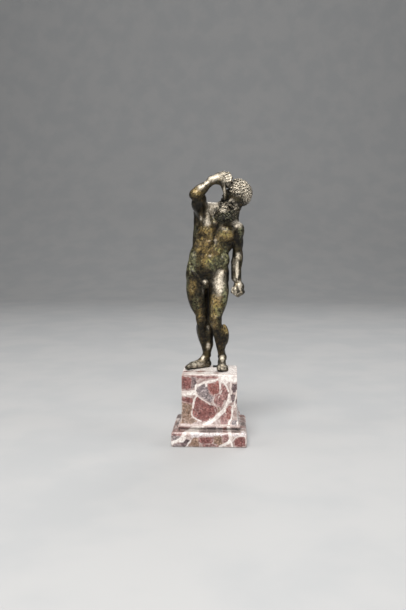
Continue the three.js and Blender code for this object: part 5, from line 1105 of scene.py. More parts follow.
def keep_largest(obj):
    """Drops any speck that isn't joined to the cast."""
    n = len(obj.data.vertices)
    edges = np.empty(len(obj.data.edges) * 2, np.int32)
    obj.data.edges.foreach_get("vertices", edges)
    edges = edges.reshape(-1, 2)
    label = np.arange(n)
    while True:
        low = np.minimum(label[edges[:, 0]], label[edges[:, 1]])
        new = label.copy()
        np.minimum.at(new, edges[:, 0], low)
        np.minimum.at(new, edges[:, 1], low)
        new = new[new]
        if np.array_equal(new, label):
            break
        label = new
    names, counts = np.unique(label, return_counts=True)
    if len(names) == 1:
        return
    main = names[counts.argmax()]
    bm = bmesh.new()
    bm.from_mesh(obj.data)
    bm.verts.ensure_lookup_table()
    bmesh.ops.delete(bm, geom=[bm.verts[i] for i in np.flatnonzero(label != main)], context="VERTS")
    bm.to_mesh(obj.data)
    bm.free()


# ---- the plinth's fine surface ---------------------------------------------------------------
def plinth_profile():
    """Half-width and height from the underside to the top, finely stepped."""
    pts = [(SLAB_HALF - 0.35, 0.0), (SLAB_HALF - 0.12, 0.08), (SLAB_HALF, 0.35)]
    n = 22
    for i in range(1, n + 1):
        pts.append((SLAB_HALF, 0.35 + (SLAB_TOP - SLAB_ROUND - 0.35) * i / n))
    for i in range(1, 11):
        a = i / 10 * math.pi / 2
        pts.append((SLAB_HALF - SLAB_ROUND * 0.8 * (1 - math.cos(a)), SLAB_TOP - SLAB_ROUND + SLAB_ROUND * math.sin(a)))
    inner = FILLET_HALF - 1.1
    last = pts[-1][0]
    for i in range(1, 9):
        pts.append((last + (inner - last) * i / 8, SLAB_TOP))
    for i in range(1, 6):
        pts.append((inner - 0.2 * math.sin(i / 5 * math.pi / 2), SLAB_TOP + 1.2 * i / 5))
    for i in range(1, 6):
        pts.append((FILLET_HALF - 1.3 + 0.4 * i / 5, SLAB_TOP + 1.2 + (FILLET_LOW - SLAB_TOP - 1.2) * i / 5))
    for i in range(0, 13):
        a = (i / 12 * 2 - 1) * math.pi / 2
        pts.append((FILLET_HALF - 0.7 + 0.7 * math.cos(a), (FILLET_LOW + FILLET_TOP) / 2 + (FILLET_TOP - FILLET_LOW) / 2 * math.sin(a)))
    for i in range(1, 31):
        t = i / 30
        pts.append((DIE_HALF + (FILLET_HALF - 0.9 - DIE_HALF) * (1 - t) ** 3, FILLET_TOP + (FLARE_TOP - FILLET_TOP) * t))
    n = 60
    for i in range(1, n + 1):
        pts.append((DIE_HALF, FLARE_TOP + (SOLE - 0.5 - FLARE_TOP) * i / n))
    for i in range(1, 6):
        a = i / 5 * math.pi / 2
        pts.append((DIE_HALF - 0.5 * (1 - math.cos(a)), SOLE - 0.5 + 0.5 * math.sin(a)))
    return pts


def square_ring(half, corner, per_side, per_corner):
    """Points around a square of rounded corners, anticlockwise, with each point's outward direction and its nearness to a corner."""
    ring, out, near = [], [], []
    for side in range(4):
        a = side * math.pi / 2
        ca, sa = math.cos(a), math.sin(a)
        row = []
        for i in range(per_side):
            t = (i + 0.5) / per_side * 2 - 1
            t = math.copysign(1 - (1 - abs(t)) ** 1.0, t)
            y = t * (half - corner)
            row.append((half, y, 1.0, 0.0, abs(y)))
        for i in range(per_corner):
            b = (i + 0.5) / per_corner * math.pi / 2
            row.append((half - corner + corner * math.cos(b), half - corner + corner * math.sin(b), math.cos(b), math.sin(b), half))
        for x, y, nx, ny, e in row:
            ring.append((x * ca - y * sa, x * sa + y * ca))
            out.append((nx * ca - ny * sa, nx * sa + ny * ca))
            near.append(half - e)
    return np.array(ring), np.array(out), np.array(near)


def build_plinth():
    profile = plinth_profile()
    per_side, per_corner = 110, 5
    rings, outs, nears, hards = [], [], [], []
    heights = np.array([z for _, z in profile])
    widths = np.array([w for w, _ in profile])
    # outward tilt of the profile at each height
    dz = np.gradient(heights)
    dw = np.gradient(widths)
    tilt = np.stack([dz, -dw], 1)
    tilt /= np.linalg.norm(tilt, axis=1, keepdims=True)
    for (w, z), (tn, tz) in zip(profile, tilt):
        ring, out, near = square_ring(w, 0.45, per_side, per_corner)
        rings.append(np.column_stack([ring, np.full(len(ring), z)]))
        outs.append(np.column_stack([out * tn, np.full(len(ring), tz)]))
        nears.append(near)
        hards.append(np.full(len(ring), min(abs(z - SOLE), abs(z - SLAB_TOP + 1.0), abs(z - FILLET_TOP + 0.6), abs(z - 0.2))))
    m = len(rings[0])
    verts = np.concatenate(rings)
    out = np.concatenate(outs)
    near = np.concatenate(nears)
    hard = np.concatenate(hards)
    faces = []
    for r in range(len(rings) - 1):
        a = np.arange(m) + r * m
        b = (np.arange(m) + 1) % m + r * m
        faces.append(np.stack([a, b, b + m, a + m], 1))
    count = len(verts)
    # the top and the underside, in rings drawn in towards the middle
    caps = []
    for first, steps, up in ((len(rings) - 1, 26, 1), (0, 8, -1)):
        base = np.arange(m) + first * m
        ring = rings[first][:, :2]
        z = rings[first][0, 2]
        prev = base
        for i in range(1, steps + 1):
            s = 1 - i / steps
            if i == steps:
                s = 0.012
            caps.append(np.column_stack([ring * s, np.full(m, z)]))
            now = np.arange(m) + count
            count += m
            a, b = prev, np.roll(prev, -1)
            c, d = np.roll(now, -1), now
            faces.append(np.stack([a, b, c, d] if up > 0 else [b, a, d, c], 1))
            prev = now
        caps.append(np.array([[0.0, 0.0, z]]))
        centre = count
        count += 1
        fan = np.stack([prev, np.roll(prev, -1), np.full(m, centre), np.full(m, centre)], 1)
        if up < 0:
            fan = fan[:, [1, 0, 2, 3]]
        faces.append(fan)
    extra = np.concatenate(caps)
    verts = np.concatenate([verts, extra])
    zcap = extra[:, 2] > SOLE / 2
    out = np.concatenate([out, np.column_stack([np.zeros(len(extra)), np.zeros(len(extra)), np.where(zcap, 1.0, -1.0)])])
    far = np.full(len(extra), 9.0)
    near = np.concatenate([near, far])
    hard = np.concatenate([hard, far])
    # old knocks: the arrises are worn, and here and there a flake is gone
    arris = np.exp(-(np.minimum(near, hard) / 0.9) ** 2)
    both = np.exp(-(near / 1.2) ** 2) * np.exp(-(hard / 1.2) ** 2)
    flake = np.clip(lump_noise(verts, 2.3, 21) * 0.7 + lump_noise(verts, 1.0, 22) * 0.4 - 0.18, 0, 1)
    worn = np.clip(lump_noise(verts, 6.0, 23) * 0.5 + 0.5, 0, 1) * 0.10
    depth = arris * (flake * 1.15 + worn) + both * 0.35
    depth += np.clip(lump_noise(verts, 1.1, 24) - 0.62, 0, 1) * 0.25  # open pores in the stone
    top = (verts[:, 2] > SOLE - 1e-6) & (np.abs(verts[:, 0]) < DIE_HALF - 1.2) & (np.abs(verts[:, 1]) < DIE_HALF - 1.2)
    under = verts[:, 2] < 0.05
    depth[top | under] = 0
    verts = verts - out * depth[:, None]
    flat = np.concatenate([f for f in faces])
    mesh = bpy.data.meshes.new("marble_block")
    bm = bmesh.new()
    made = [bm.verts.new(tuple(v * 0.001)) for v in verts]
    for f in flat.tolist():
        if f[2] == f[3]:
            bm.faces.new([made[f[0]], made[f[1]], made[f[2]]])
        else:
            bm.faces.new([made[i] for i in f])
    bmesh.ops.recalc_face_normals(bm, faces=bm.faces)
    bm.to_mesh(mesh)
    bm.free()
    attribute(mesh, "arris", np.clip(arris * (flake * 2 + 0.3), 0, 1))
    # painted shade in the recess under the moulding, and fainter along the slab's top ledge
    attribute(mesh, "recess_shade", np.clip(np.exp(-((verts[:, 2] - 11.6) / 1.0) ** 2) + 0.6 * np.exp(-((verts[:, 2] - SLAB_TOP) / 0.5) ** 2), 0, 1))
    # a black mark at the top's back edge between the heels, and painted shadows at the front of the toes
    x, y = verts[:, 0] + 0.25 * lump_noise(verts, 0.9, 25), verts[:, 1] + 0.4 * lump_noise(verts, 1.3, 26)
    black_mark_and_toe_shadows = np.maximum(np.abs(x - 4.2) - 2.5, 9.4 - y)
    black_mark_and_toe_shadows = np.minimum(black_mark_and_toe_shadows, 1.2 * (np.hypot((x + 14.8) / 2.7, (y + 3.7) / 0.8) - 1))
    black_mark_and_toe_shadows = np.minimum(black_mark_and_toe_shadows, 1.2 * (np.hypot((x - 8.8) / 4.2, (y + 9.7) / 0.8) - 1))
    attribute(mesh, "black_mark_and_toe_shadows", np.clip(np.where(verts[:, 2] > SOLE - 1.6, black_mark_and_toe_shadows, 9.0), -9, 9))
    field, white, edge = breccia(verts)
    for kind in KINDS:
        attribute(mesh, kind, np.clip(field[kind], -9, 9))
    attribute(mesh, "white", np.clip(white, -9, 9))
    attribute(mesh, "edge", np.clip(edge, 0, 9))
    mesh.shade_smooth()
    return link("marble_block", mesh)


# ---- the breccia's pattern ---------------------------------------------------------------
# Fragments show on the front of the die and of the slab as outlines (x, z), and run some way
# back into the stone, sliding sideways and closing as they go: kind, outline, depth, slide.
DIE_FRAGMENTS = [
    ("maroon", [(-21.0, 49.4), (-16.7, 49.1), (-13.0, 48.0), (-11.8, 45.5), (-12.2, 42.4), (-13.2, 41.2), (-16.0, 40.6), (-21.0, 40.6)], 11, 0.2),
    ("plum", [(-12.3, 48.7), (-9.6, 49.2), (-9.8, 44.3), (-10.3, 41.9), (-12.3, 41.0)], 8, 0.1),
    ("grey", [(-8.8, 42.1), (-6.0, 42.6), (-4.9, 44.7), (-3.1, 44.0), (-0.9, 42.1), (-0.4, 39.2), (0.9, 37.0), (3.0, 35.5), (3.0, 32.9), (1.2, 31.1), (-1.3, 32.2), (-5.2, 34.0), (-8.1, 37.0), (-9.4, 39.2)], 9, 0.2),
    ("russet", [(-0.9, 44.0), (2.7, 44.9), (6.2, 46.3), (7.1, 42.8), (7.0, 38.4), (4.8, 35.8), (3.0, 35.5), (0.5, 37.3), (-0.5, 40.6)], 10, 0.3),
    ("mauve", [(3.7, 35.5), (7.0, 37.0), (9.1, 35.8), (10.8, 33.3), (10.2, 30.3), (8.4, 28.1), (5.5, 28.8), (3.4, 30.7)], 9, 0.0),
    ("maroon", [(-9.2, 34.7), (-7.4, 34.0), (-4.5, 32.2), (-0.9, 30.5), (1.6, 28.8), (5.2, 28.5), (5.7, 26.6), (5.4, 23.7), (3.4, 20.7), (1.2, 19.6), (-0.2, 18.5), (-3.4, 17.2), (-6.7, 17.6), (-9.5, 19.8), (-11.9, 22.2), (-12.0, 25.2), (-11.0, 29.6), (-10.3, 32.5)], 13, -0.2),
    ("maroon", [(-21.0, 34.0), (-16.0, 34.4), (-12.4, 33.3), (-11.7, 31.4), (-13.8, 30.0), (-16.7, 31.1), (-18.9, 31.4), (-21.0, 32.2)], 8, 0.2),
    ("brown", [(-21.0, 31.8), (-16.7, 30.7), (-13.1, 29.6), (-12.2, 26.6), (-13.1, 22.9), (-12.4, 20.0), (-15.3, 18.9), (-18.1, 19.3), (-21.0, 18.5)], 12, 0.3),
    ("russet", [(12.0, 25.9), (14.1, 28.7), (15.8, 27.4), (16.1, 23.7), (15.6, 20.0), (14.1, 18.5), (12.3, 19.3), (12.0, 22.9)], 8, 0.1),
    ("mauve", [(8.4, 20.4), (11.3, 23.7), (12.3, 19.3), (13.8, 17.8), (13.0, 15.2), (8.4, 15.2)], 6, 0.0),
    ("plum", [(16.8, 44.3), (20.8, 44.3), (20.6, 39.9), (17.4, 38.4), (16.4, 41.4)], 7, -0.1),
    ("plum", [(16.0, 37.0), (18.4, 35.8), (18.4, 32.5), (16.5, 31.4)], 7, 0.0),
    ("plum", [(18.9, 33.6), (21.6, 34.0), (21.6, 28.1), (19.1, 28.1)], 8, 0.0),
    ("grey", [(16.3, 17.8), (20.4, 17.8), (20.4, 14.5), (16.3, 14.5)], 6, 0.0),
    ("brown", [(3.4, 29.6), (7.0, 28.8), (7.3, 24.4), (5.5, 22.9), (4.4, 26.6)], 5, 0.1),
    ("mauve", [(8.7, 44.3), (11.3, 42.8), (13.8, 38.8), (13.8, 35.5), (11.6, 32.5), (10.2, 35.5), (8.7, 39.2)], 7, -0.1),
    ("brown", [(-21.0, 18.5), (-15.5, 18.4), (-12.0, 19.0), (-9.0, 17.4), (-12.5, 15.6), (-21.0, 16.0)], 7, 0.1),
    ("mauve", [(-14.0, 50.4), (-4.0, 49.6), (6.0, 49.4), (6.4, 48.6), (-2.0, 48.2), (-8.0, 48.6)], 5, 0.0),
]
SLAB_FRAGMENTS = [
    ("mauve", [(-26.8, 13.2), (-13.5, 13.4), (-15.0, 10.6), (-26.8, 10.6)], 8, 0.1),
    ("plum", [(-6.4, 10.7), (-2.1, 12.8), (-2.1, 10.5)], 8, 0.1),
    ("plum", [(-1.5, 13.4), (5.0, 13.4), (5.2, 10.4), (-1.0, 10.4)], 8, 0.0),
    ("grey", [(6.4, 13.2), (9.0, 13.4), (9.3, 10.6), (6.6, 10.6)], 8, 0.0),
    ("maroon", [(9.6, 13.4), (13.0, 13.4), (13.0, 10.6), (10.0, 10.6)], 8, 0.0),
    ("plum", [(15.8, 13.2), (22.0, 13.2), (22.2, 10.6), (16.2, 10.6)], 8, 0.0),
    # the pale band along the slab's rounded top edge: partly the stone's lilac colour, partly a painted highlight
    ("lilac", [(-14.0, 11.2), (16.0, 11.2), (26.6, 10.8), (26.4, 8.0), (19.0, 8.4), (12.0, 8.8), (2.0, 7.9), (-6.0, 7.8), (-12.0, 7.0)], 4, 0.0),
    ("maroon", [(-7.1, 7.2), (-2.8, 7.5), (2.8, 7.2), (3.6, 4.7), (1.4, 2.5), (-3.6, 2.9), (-7.1, 3.6)], 9, 0.2),
    ("brown", [(3.2, 7.5), (7.1, 8.6), (10.0, 6.8), (10.3, 3.2), (7.1, 1.4), (3.9, 2.5)], 8, 0.1),
    ("mauve", [(9.6, 8.3), (13.7, 9.1), (13.9, 6.1), (12.5, 3.9), (10.0, 3.9)], 8, -0.1),
    ("maroon", [(18.7, 5.4), (21.7, 7.3), (25.6, 7.3), (26.0, 3.2), (25.5, 0.3), (19.6, 0.3), (18.4, 3.2)], 10, -0.2),
    ("mauve", [(-26.9, 11.1), (-19.2, 11.1), (-19.2, 8.3), (-26.9, 7.5)], 6, 0.0),
    ("grey", [(-27.6, 7.9), (-19.9, 7.5), (-22.1, 5.0), (-27.6, 4.7)], 8, 0.2),
    ("grey", [(-25.6, 1.4), (-20.6, 2.1), (-19.2, -0.3), (-25.6, -0.3)], 6, 0.1),
    ("plum", [(-20.6, 2.9), (-15.7, 5.4), (-13.5, 5.0), (-15.7, -0.3), (-19.9, -0.3)], 7, 0.1),
    ("brown", [(-13.2, 3.9), (-10.0, 6.8), (-7.3, 6.5), (-7.3, -0.3), (-13.5, -0.3)], 7, 0.0),
    ("mauve", [(-4.3, 2.3), (1.4, 2.0), (5.7, 1.8), (6.4, -0.3), (-4.3, -0.3)], 6, 0.0),
]

# White veins, drawn the same way: half-width, line, slide.
DIE_VEINS = [
    (2.05, [(-21.8, 37.2), (-15.3, 37.5), (-10.6, 37.7)], 0.15),
    (0.75, [(-9.5, 43.6), (-9.8, 40.6), (-9.9, 37.7), (-9.2, 35.5)], 0.2),
    (0.9, [(-9.9, 42.8), (-7.4, 43.4), (-4.5, 45.1), (-0.9, 45.6), (2.7, 46.5), (6.6, 47.8)], 0.25),
    (0.8, [(-2.4, 45.4), (-2.1, 42.8)], 0.1),
    (0.7, [(-8.8, 35.5), (-10.3, 33.3), (-11.4, 29.6), (-11.7, 26.6)], -0.2),
    (0.48, [(-12.5, 24.4), (-12.6, 21.5), (-11.0, 19.6), (-8.8, 18.5), (-6.3, 17.2)], -0.2),
    (0.36, [(-9.5, 37.0), (-6.7, 34.0), (-3.8, 32.0), (-0.9, 30.5), (1.4, 29.0)], 0.1),
    (0.2, [(1.4, 29.0), (4.8, 28.1), (6.0, 25.9)], 0.1),
    (0.2, [(4.1, 36.6), (3.0, 32.5), (3.2, 29.8), (5.0, 28.3), (6.2, 25.9)], 0.1),
    (0.68, [(7.5, 47.3), (7.7, 41.2)], 0.0),
    (0.66, [(10.5, 45.8), (12.7, 42.1), (13.7, 39.2)], 0.0),
    (0.7, [(15.6, 45.8), (15.3, 41.4)], 0.0),
    (0.42, [(15.5, 41.4), (15.9, 37.3)], 0.0),
    (1.0, [(14.3, 37.0), (14.3, 33.6), (13.1, 31.1), (11.4, 27.4)], -0.2),
    (0.8, [(15.9, 31.8), (13.4, 30.7), (11.1, 27.4), (10.2, 24.4)], -0.2),
    (1.5, [(10.9, 25.5), (8.4, 23.3), (5.5, 20.4), (2.7, 17.8), (-0.9, 15.7), (-5.2, 13.7)], 0.3),
    (0.5, [(19.6, 39.9), (19.1, 35.5), (18.2, 31.8), (17.7, 28.8)], -0.1),
    (0.72, [(16.6, 28.6), (16.4, 23.7), (16.0, 19.3), (14.3, 16.3), (14.0, 13.4)], -0.1),
    (0.55, [(19.4, 29.2), (18.3, 27.4)], 0.0),
    (0.28, [(16.6, 22.9), (17.9, 19.6)], 0.0),
    (0.62, [(20.6, 26.6), (20.7, 20.7), (20.3, 14.8)], 0.0),
    (0.22, [(9.1, 39.9), (7.4, 36.2), (6.7, 33.6)], 0.0),
    (0.5, [(0.5, 18.9), (0.9, 15.2)], 0.0),
]
SLAB_VEINS = [
    (1.35, [(-3.6, 16.9), (-8.5, 14.0), (-13.5, 11.9), (-17.8, 9.0), (-20.6, 5.4), (-27.8, 2.1)], 0.2),
    (0.9, [(-27.8, 2.5), (-24.9, 4.3), (-18.5, 4.1), (-17.1, 6.8)], 0.2),
    (0.55, [(-16.4, -0.2), (-14.6, 2.5), (-12.8, 4.7)], 0.1),
    (1.3, [(14.2, 16.9), (14.4, 11.1), (15.7, 6.8), (13.9, 3.6), (11.0, 1.6), (8.2, 0.3)], -0.15),
    (0.85, [(15.3, 4.7), (16.7, 0.7)], 0.0),
    (0.38, [(16.7, 4.7), (18.5, 7.2), (21.4, 8.5), (25.3, 8.4), (26.3, 6.1), (26.3, 2.5)], 0.0),
    (0.5, [(5.2, 14.7), (5.8, 11.9)], 0.0),
]
# White patches, as fragments.
DIE_PATCHES = [
    ([(6.2, 51.6), (20.9, 51.6), (20.9, 45.8), (17.0, 45.2), (14.2, 45.8), (12.6, 44.3), (10.5, 45.0), (7.0, 45.8)], 9, 0.3),
]
SLAB_PATCHES = [
    ([(-12.5, 14.8), (-4.0, 15.4), (-3.0, 13.2), (-6.5, 11.4), (-9.0, 9.6), (-16.0, 9.4), (-15.0, 11.6)], 7, 0.1),
]
KINDS = ("lilac", "brown", "mauve", "grey", "russet", "maroon", "plum")


def line_distance(x, z, line):
    """Distance in the (x, z) plane to an open line of straight pieces."""
    best = np.full(len(x), 1e9)
    for (ax, az), (bx, bz) in zip(line, line[1:]):
        dx, dz = bx - ax, bz - az
        t = np.clip(((x - ax) * dx + (z - az) * dz) / (dx * dx + dz * dz), 0, 1)
        best = np.minimum(best, np.hypot(x - ax - t * dx, z - az - t * dz))
    return best


def outline_distance(x, z, outline):
    """Signed distance in the (x, z) plane to a closed outline, negative inside."""
    d = line_distance(x, z, outline + outline[:1])
    inside = np.zeros(len(x), bool)
    for (ax, az), (bx, bz) in zip(outline, outline[1:] + outline[:1]):
        if az == bz:
            continue
        crosses = (az > z) != (bz > z)
        inside ^= crosses & (x < (bx - ax) * (z - az) / (bz - az) + ax)
    return np.where(inside, -d, d)


def breccia(points):
    """Signed distances, in millimetres, to the stone's kinds of fragment, its white veins and the nearest fragment's edge."""
    p = points + np.stack([lump_noise(points, 2.4, 31 + i) * 0.32 + lump_noise(points, 1.0, 41 + i) * 0.16 for i in range(3)], 1)
    x, y, z = p[:, 0], p[:, 1], p[:, 2]
    far = np.full(len(p), 40.0)
    field = {kind: far.copy() for kind in KINDS}
    white = far.copy()
    for front, fragments, veins, patches_, top in (
        (-DIE_HALF, DIE_FRAGMENTS, DIE_VEINS, DIE_PATCHES, True),
        (-SLAB_HALF, SLAB_FRAGMENTS, SLAB_VEINS, SLAB_PATCHES, False),
    ):
        back = np.maximum(y - front, 0)
        if top:
            own = np.clip((15.0 - z) / 1.2, 0, 1) * 3.0
        else:
            own = np.clip((z - 13.9) / 1.2, 0, 1) * 3.0
            back = np.maximum(y + FILLET_HALF, 0) + 0.25 * back
        for kind, outline, depth, slide in fragments:
            d = outline_distance(x - slide * back, z + 0.15 * back, outline) + 0.22 * back - 0.45
            d = np.maximum(d, (back - depth) * 0.7) + own
            field[kind] = np.minimum(field[kind], d)
        for half, line, slide in veins:
            d = line_distance(x - slide * back, z + 0.15 * back, line) - half * 0.88 + 0.03 * back
            white = np.minimum(white, np.maximum(d, (back - 16) * 0.5) + own)
        for outline, depth, slide in patches_:
            d = outline_distance(x - slide * back, z + 0.15 * back, outline) + 0.2 * back
            white = np.minimum(white, np.maximum(d, (back - depth) * 0.7) + own)
    # the rest of the block: broken cells of the same kinds, with white between some of them
    rng = np.random.default_rng(20)
    seeds = rng.uniform((-32, -24, -5), (32, 32, 56), (150, 3))
    kind_of = rng.choice(len(KINDS) + 1, 150, p=[0.06, 0.15, 0.15, 0.10, 0.15, 0.25, 0.10, 0.04])
    q = points + np.stack([lump_noise(points, 7.0, 51 + i) * 2.2 + lump_noise(points, 2.0, 61 + i) * 0.5 for i in range(3)], 1)
    first = np.full(len(p), 1e9)
    second = np.full(len(p), 1e9)
    cell = np.zeros(len(p), int)
    for i, s in enumerate(seeds):
        d = np.sqrt(((q - s) ** 2).sum(1))
        nearer = d < first
        second = np.where(nearer, first, np.minimum(second, d))
        cell = np.where(nearer, i, cell)
        first = np.where(nearer, d, first)
    border = (second - first) / 2
    gap = 0.08 + 0.25 * np.clip(lump_noise(points, 5.0, 71), 0, 1)
    away = np.where(z > 14, y + 10.5, y + 17.5)
    own = np.clip(-away / 2.5 + 0.5, 0, 1) * 8.0
    for i, kind in enumerate(KINDS):
        d = np.where(kind_of[cell] == i, gap - border, gap + border) + own
        field[kind] = np.minimum(field[kind], d)
    width = np.clip(lump_noise(points, 11.0, 72) * 1.3 + 0.02, -0.4, 0.8)
    white = np.minimum(white, border - width + own)
    for i in range(7):
        normal = rng.normal(size=3)
        normal /= np.linalg.norm(normal)
        offset = rng.uniform(-22, 22)
        d = np.abs((q - (0, 0, 25)) @ normal - offset) - rng.uniform(0.12, 0.75) * np.clip(lump_noise(points, 9.0, 80 + i) * 1.4 + 0.6, -0.2, 1)
        white = np.minimum(white, d + own)
    # the top is mostly the pale stone
    pale = 0.35 - 1.1 * lump_noise(points, 6.0, 91) - 0.6 * np.clip((x + 14) / 10, 0, 1) - 0.9 * np.clip((y + 14) / 12, 0, 1)
    white = np.minimum(white, np.where(points[:, 2] > 50.6, pale, 40.0))
    edge = np.minimum.reduce([np.abs(field[k]) for k in KINDS])
    return field, white, edge


# ---- materials ---------------------------------------------------------------------------
class Paint:
    """A material's node graph. Each call adds a node and returns its output socket."""

    def __init__(self, name):
        self.material = bpy.data.materials.new(name)
        self.material.use_nodes = True
        self.nodes = self.material.node_tree.nodes
        self.links = self.material.node_tree.links
        self.nodes.clear()
        end = self.nodes.new("ShaderNodeOutputMaterial")
        self.shader = self.nodes.new("ShaderNodeBsdfPrincipled")
        self.links.new(self.shader.outputs["BSDF"], end.inputs["Surface"])
        place = self.nodes.new("ShaderNodeTexCoord").outputs["Object"]
        scaled = self.nodes.new("ShaderNodeVectorMath")
        scaled.operation = "SCALE"
        scaled.inputs["Scale"].default_value = 1000.0
        self.links.new(place, scaled.inputs[0])
        self.place = scaled.outputs["Vector"]

    def put(self, socket, value):
        if isinstance(value, bpy.types.NodeSocket):
            self.links.new(value, socket)
        elif isinstance(value, tuple) and len(value) == 3 and len(socket.default_value) == 4:
            socket.default_value = (*value, 1.0)
        else:
            socket.default_value = value

    def set(self, name, value):
        self.put(self.shader.inputs[name], value)

    def math(self, operation, a, b=0.0, clamp=False):
        n = self.nodes.new("ShaderNodeMath")
        n.operation = operation
        n.use_clamp = clamp
        self.put(n.inputs[0], a)
        self.put(n.inputs[1], b)
        return n.outputs[0]

    def add(self, a, b, clamp=False):
        return self.math("ADD", a, b, clamp)

    def times(self, a, b, clamp=False):
        return self.math("MULTIPLY", a, b, clamp)

    def step(self, value, low, high, out_low=0.0, out_high=1.0):
        """A smooth step from out_low at low to out_high at high."""
        n = self.nodes.new("ShaderNodeMapRange")
        n.interpolation_type = "SMOOTHSTEP"
        self.put(n.inputs["Value"], value)
        turn = low > high
        n.inputs["From Min"].default_value = high if turn else low
        n.inputs["From Max"].default_value = low if turn else high
        n.inputs["To Min"].default_value = out_high if turn else out_low
        n.inputs["To Max"].default_value = out_low if turn else out_high
        return n.outputs["Result"]

    def mix(self, amount, a, b):
        n = self.nodes.new("ShaderNodeMix")
        n.data_type = "RGBA"
        self.put(n.inputs[0], amount)
        self.put(n.inputs[6], a)
        self.put(n.inputs[7], b)
        return n.outputs[2]

    def noise(self, size, detail=3.0, rough=0.55, seed=0.0, distortion=0.0):
        """Noise with lumps of about size millimetres, from 0 to 1."""
        moved = self.nodes.new("ShaderNodeVectorMath")
        moved.operation = "ADD"
        self.put(moved.inputs[0], self.place)
        moved.inputs[1].default_value = (seed * 37.1, seed * 11.7, seed * 23.3)
        n = self.nodes.new("ShaderNodeTexNoise")
        self.put(n.inputs["Vector"], moved.outputs[0])
        n.inputs["Scale"].default_value = 1.0 / size
        n.inputs["Detail"].default_value = detail
        n.inputs["Roughness"].default_value = rough
        n.inputs["Distortion"].default_value = distortion
        return n.outputs["Fac"]

    def attribute(self, name):
        n = self.nodes.new("ShaderNodeAttribute")
        n.attribute_name = name
        return n.outputs["Fac"]

    def bump(self, height, distance, strength=1.0, normal=None):
        n = self.nodes.new("ShaderNodeBump")
        n.inputs["Strength"].default_value = strength
        n.inputs["Distance"].default_value = distance
        self.put(n.inputs["Height"], height)
        if normal is not None:
            self.put(n.inputs["Normal"], normal)
        return n.outputs["Normal"]


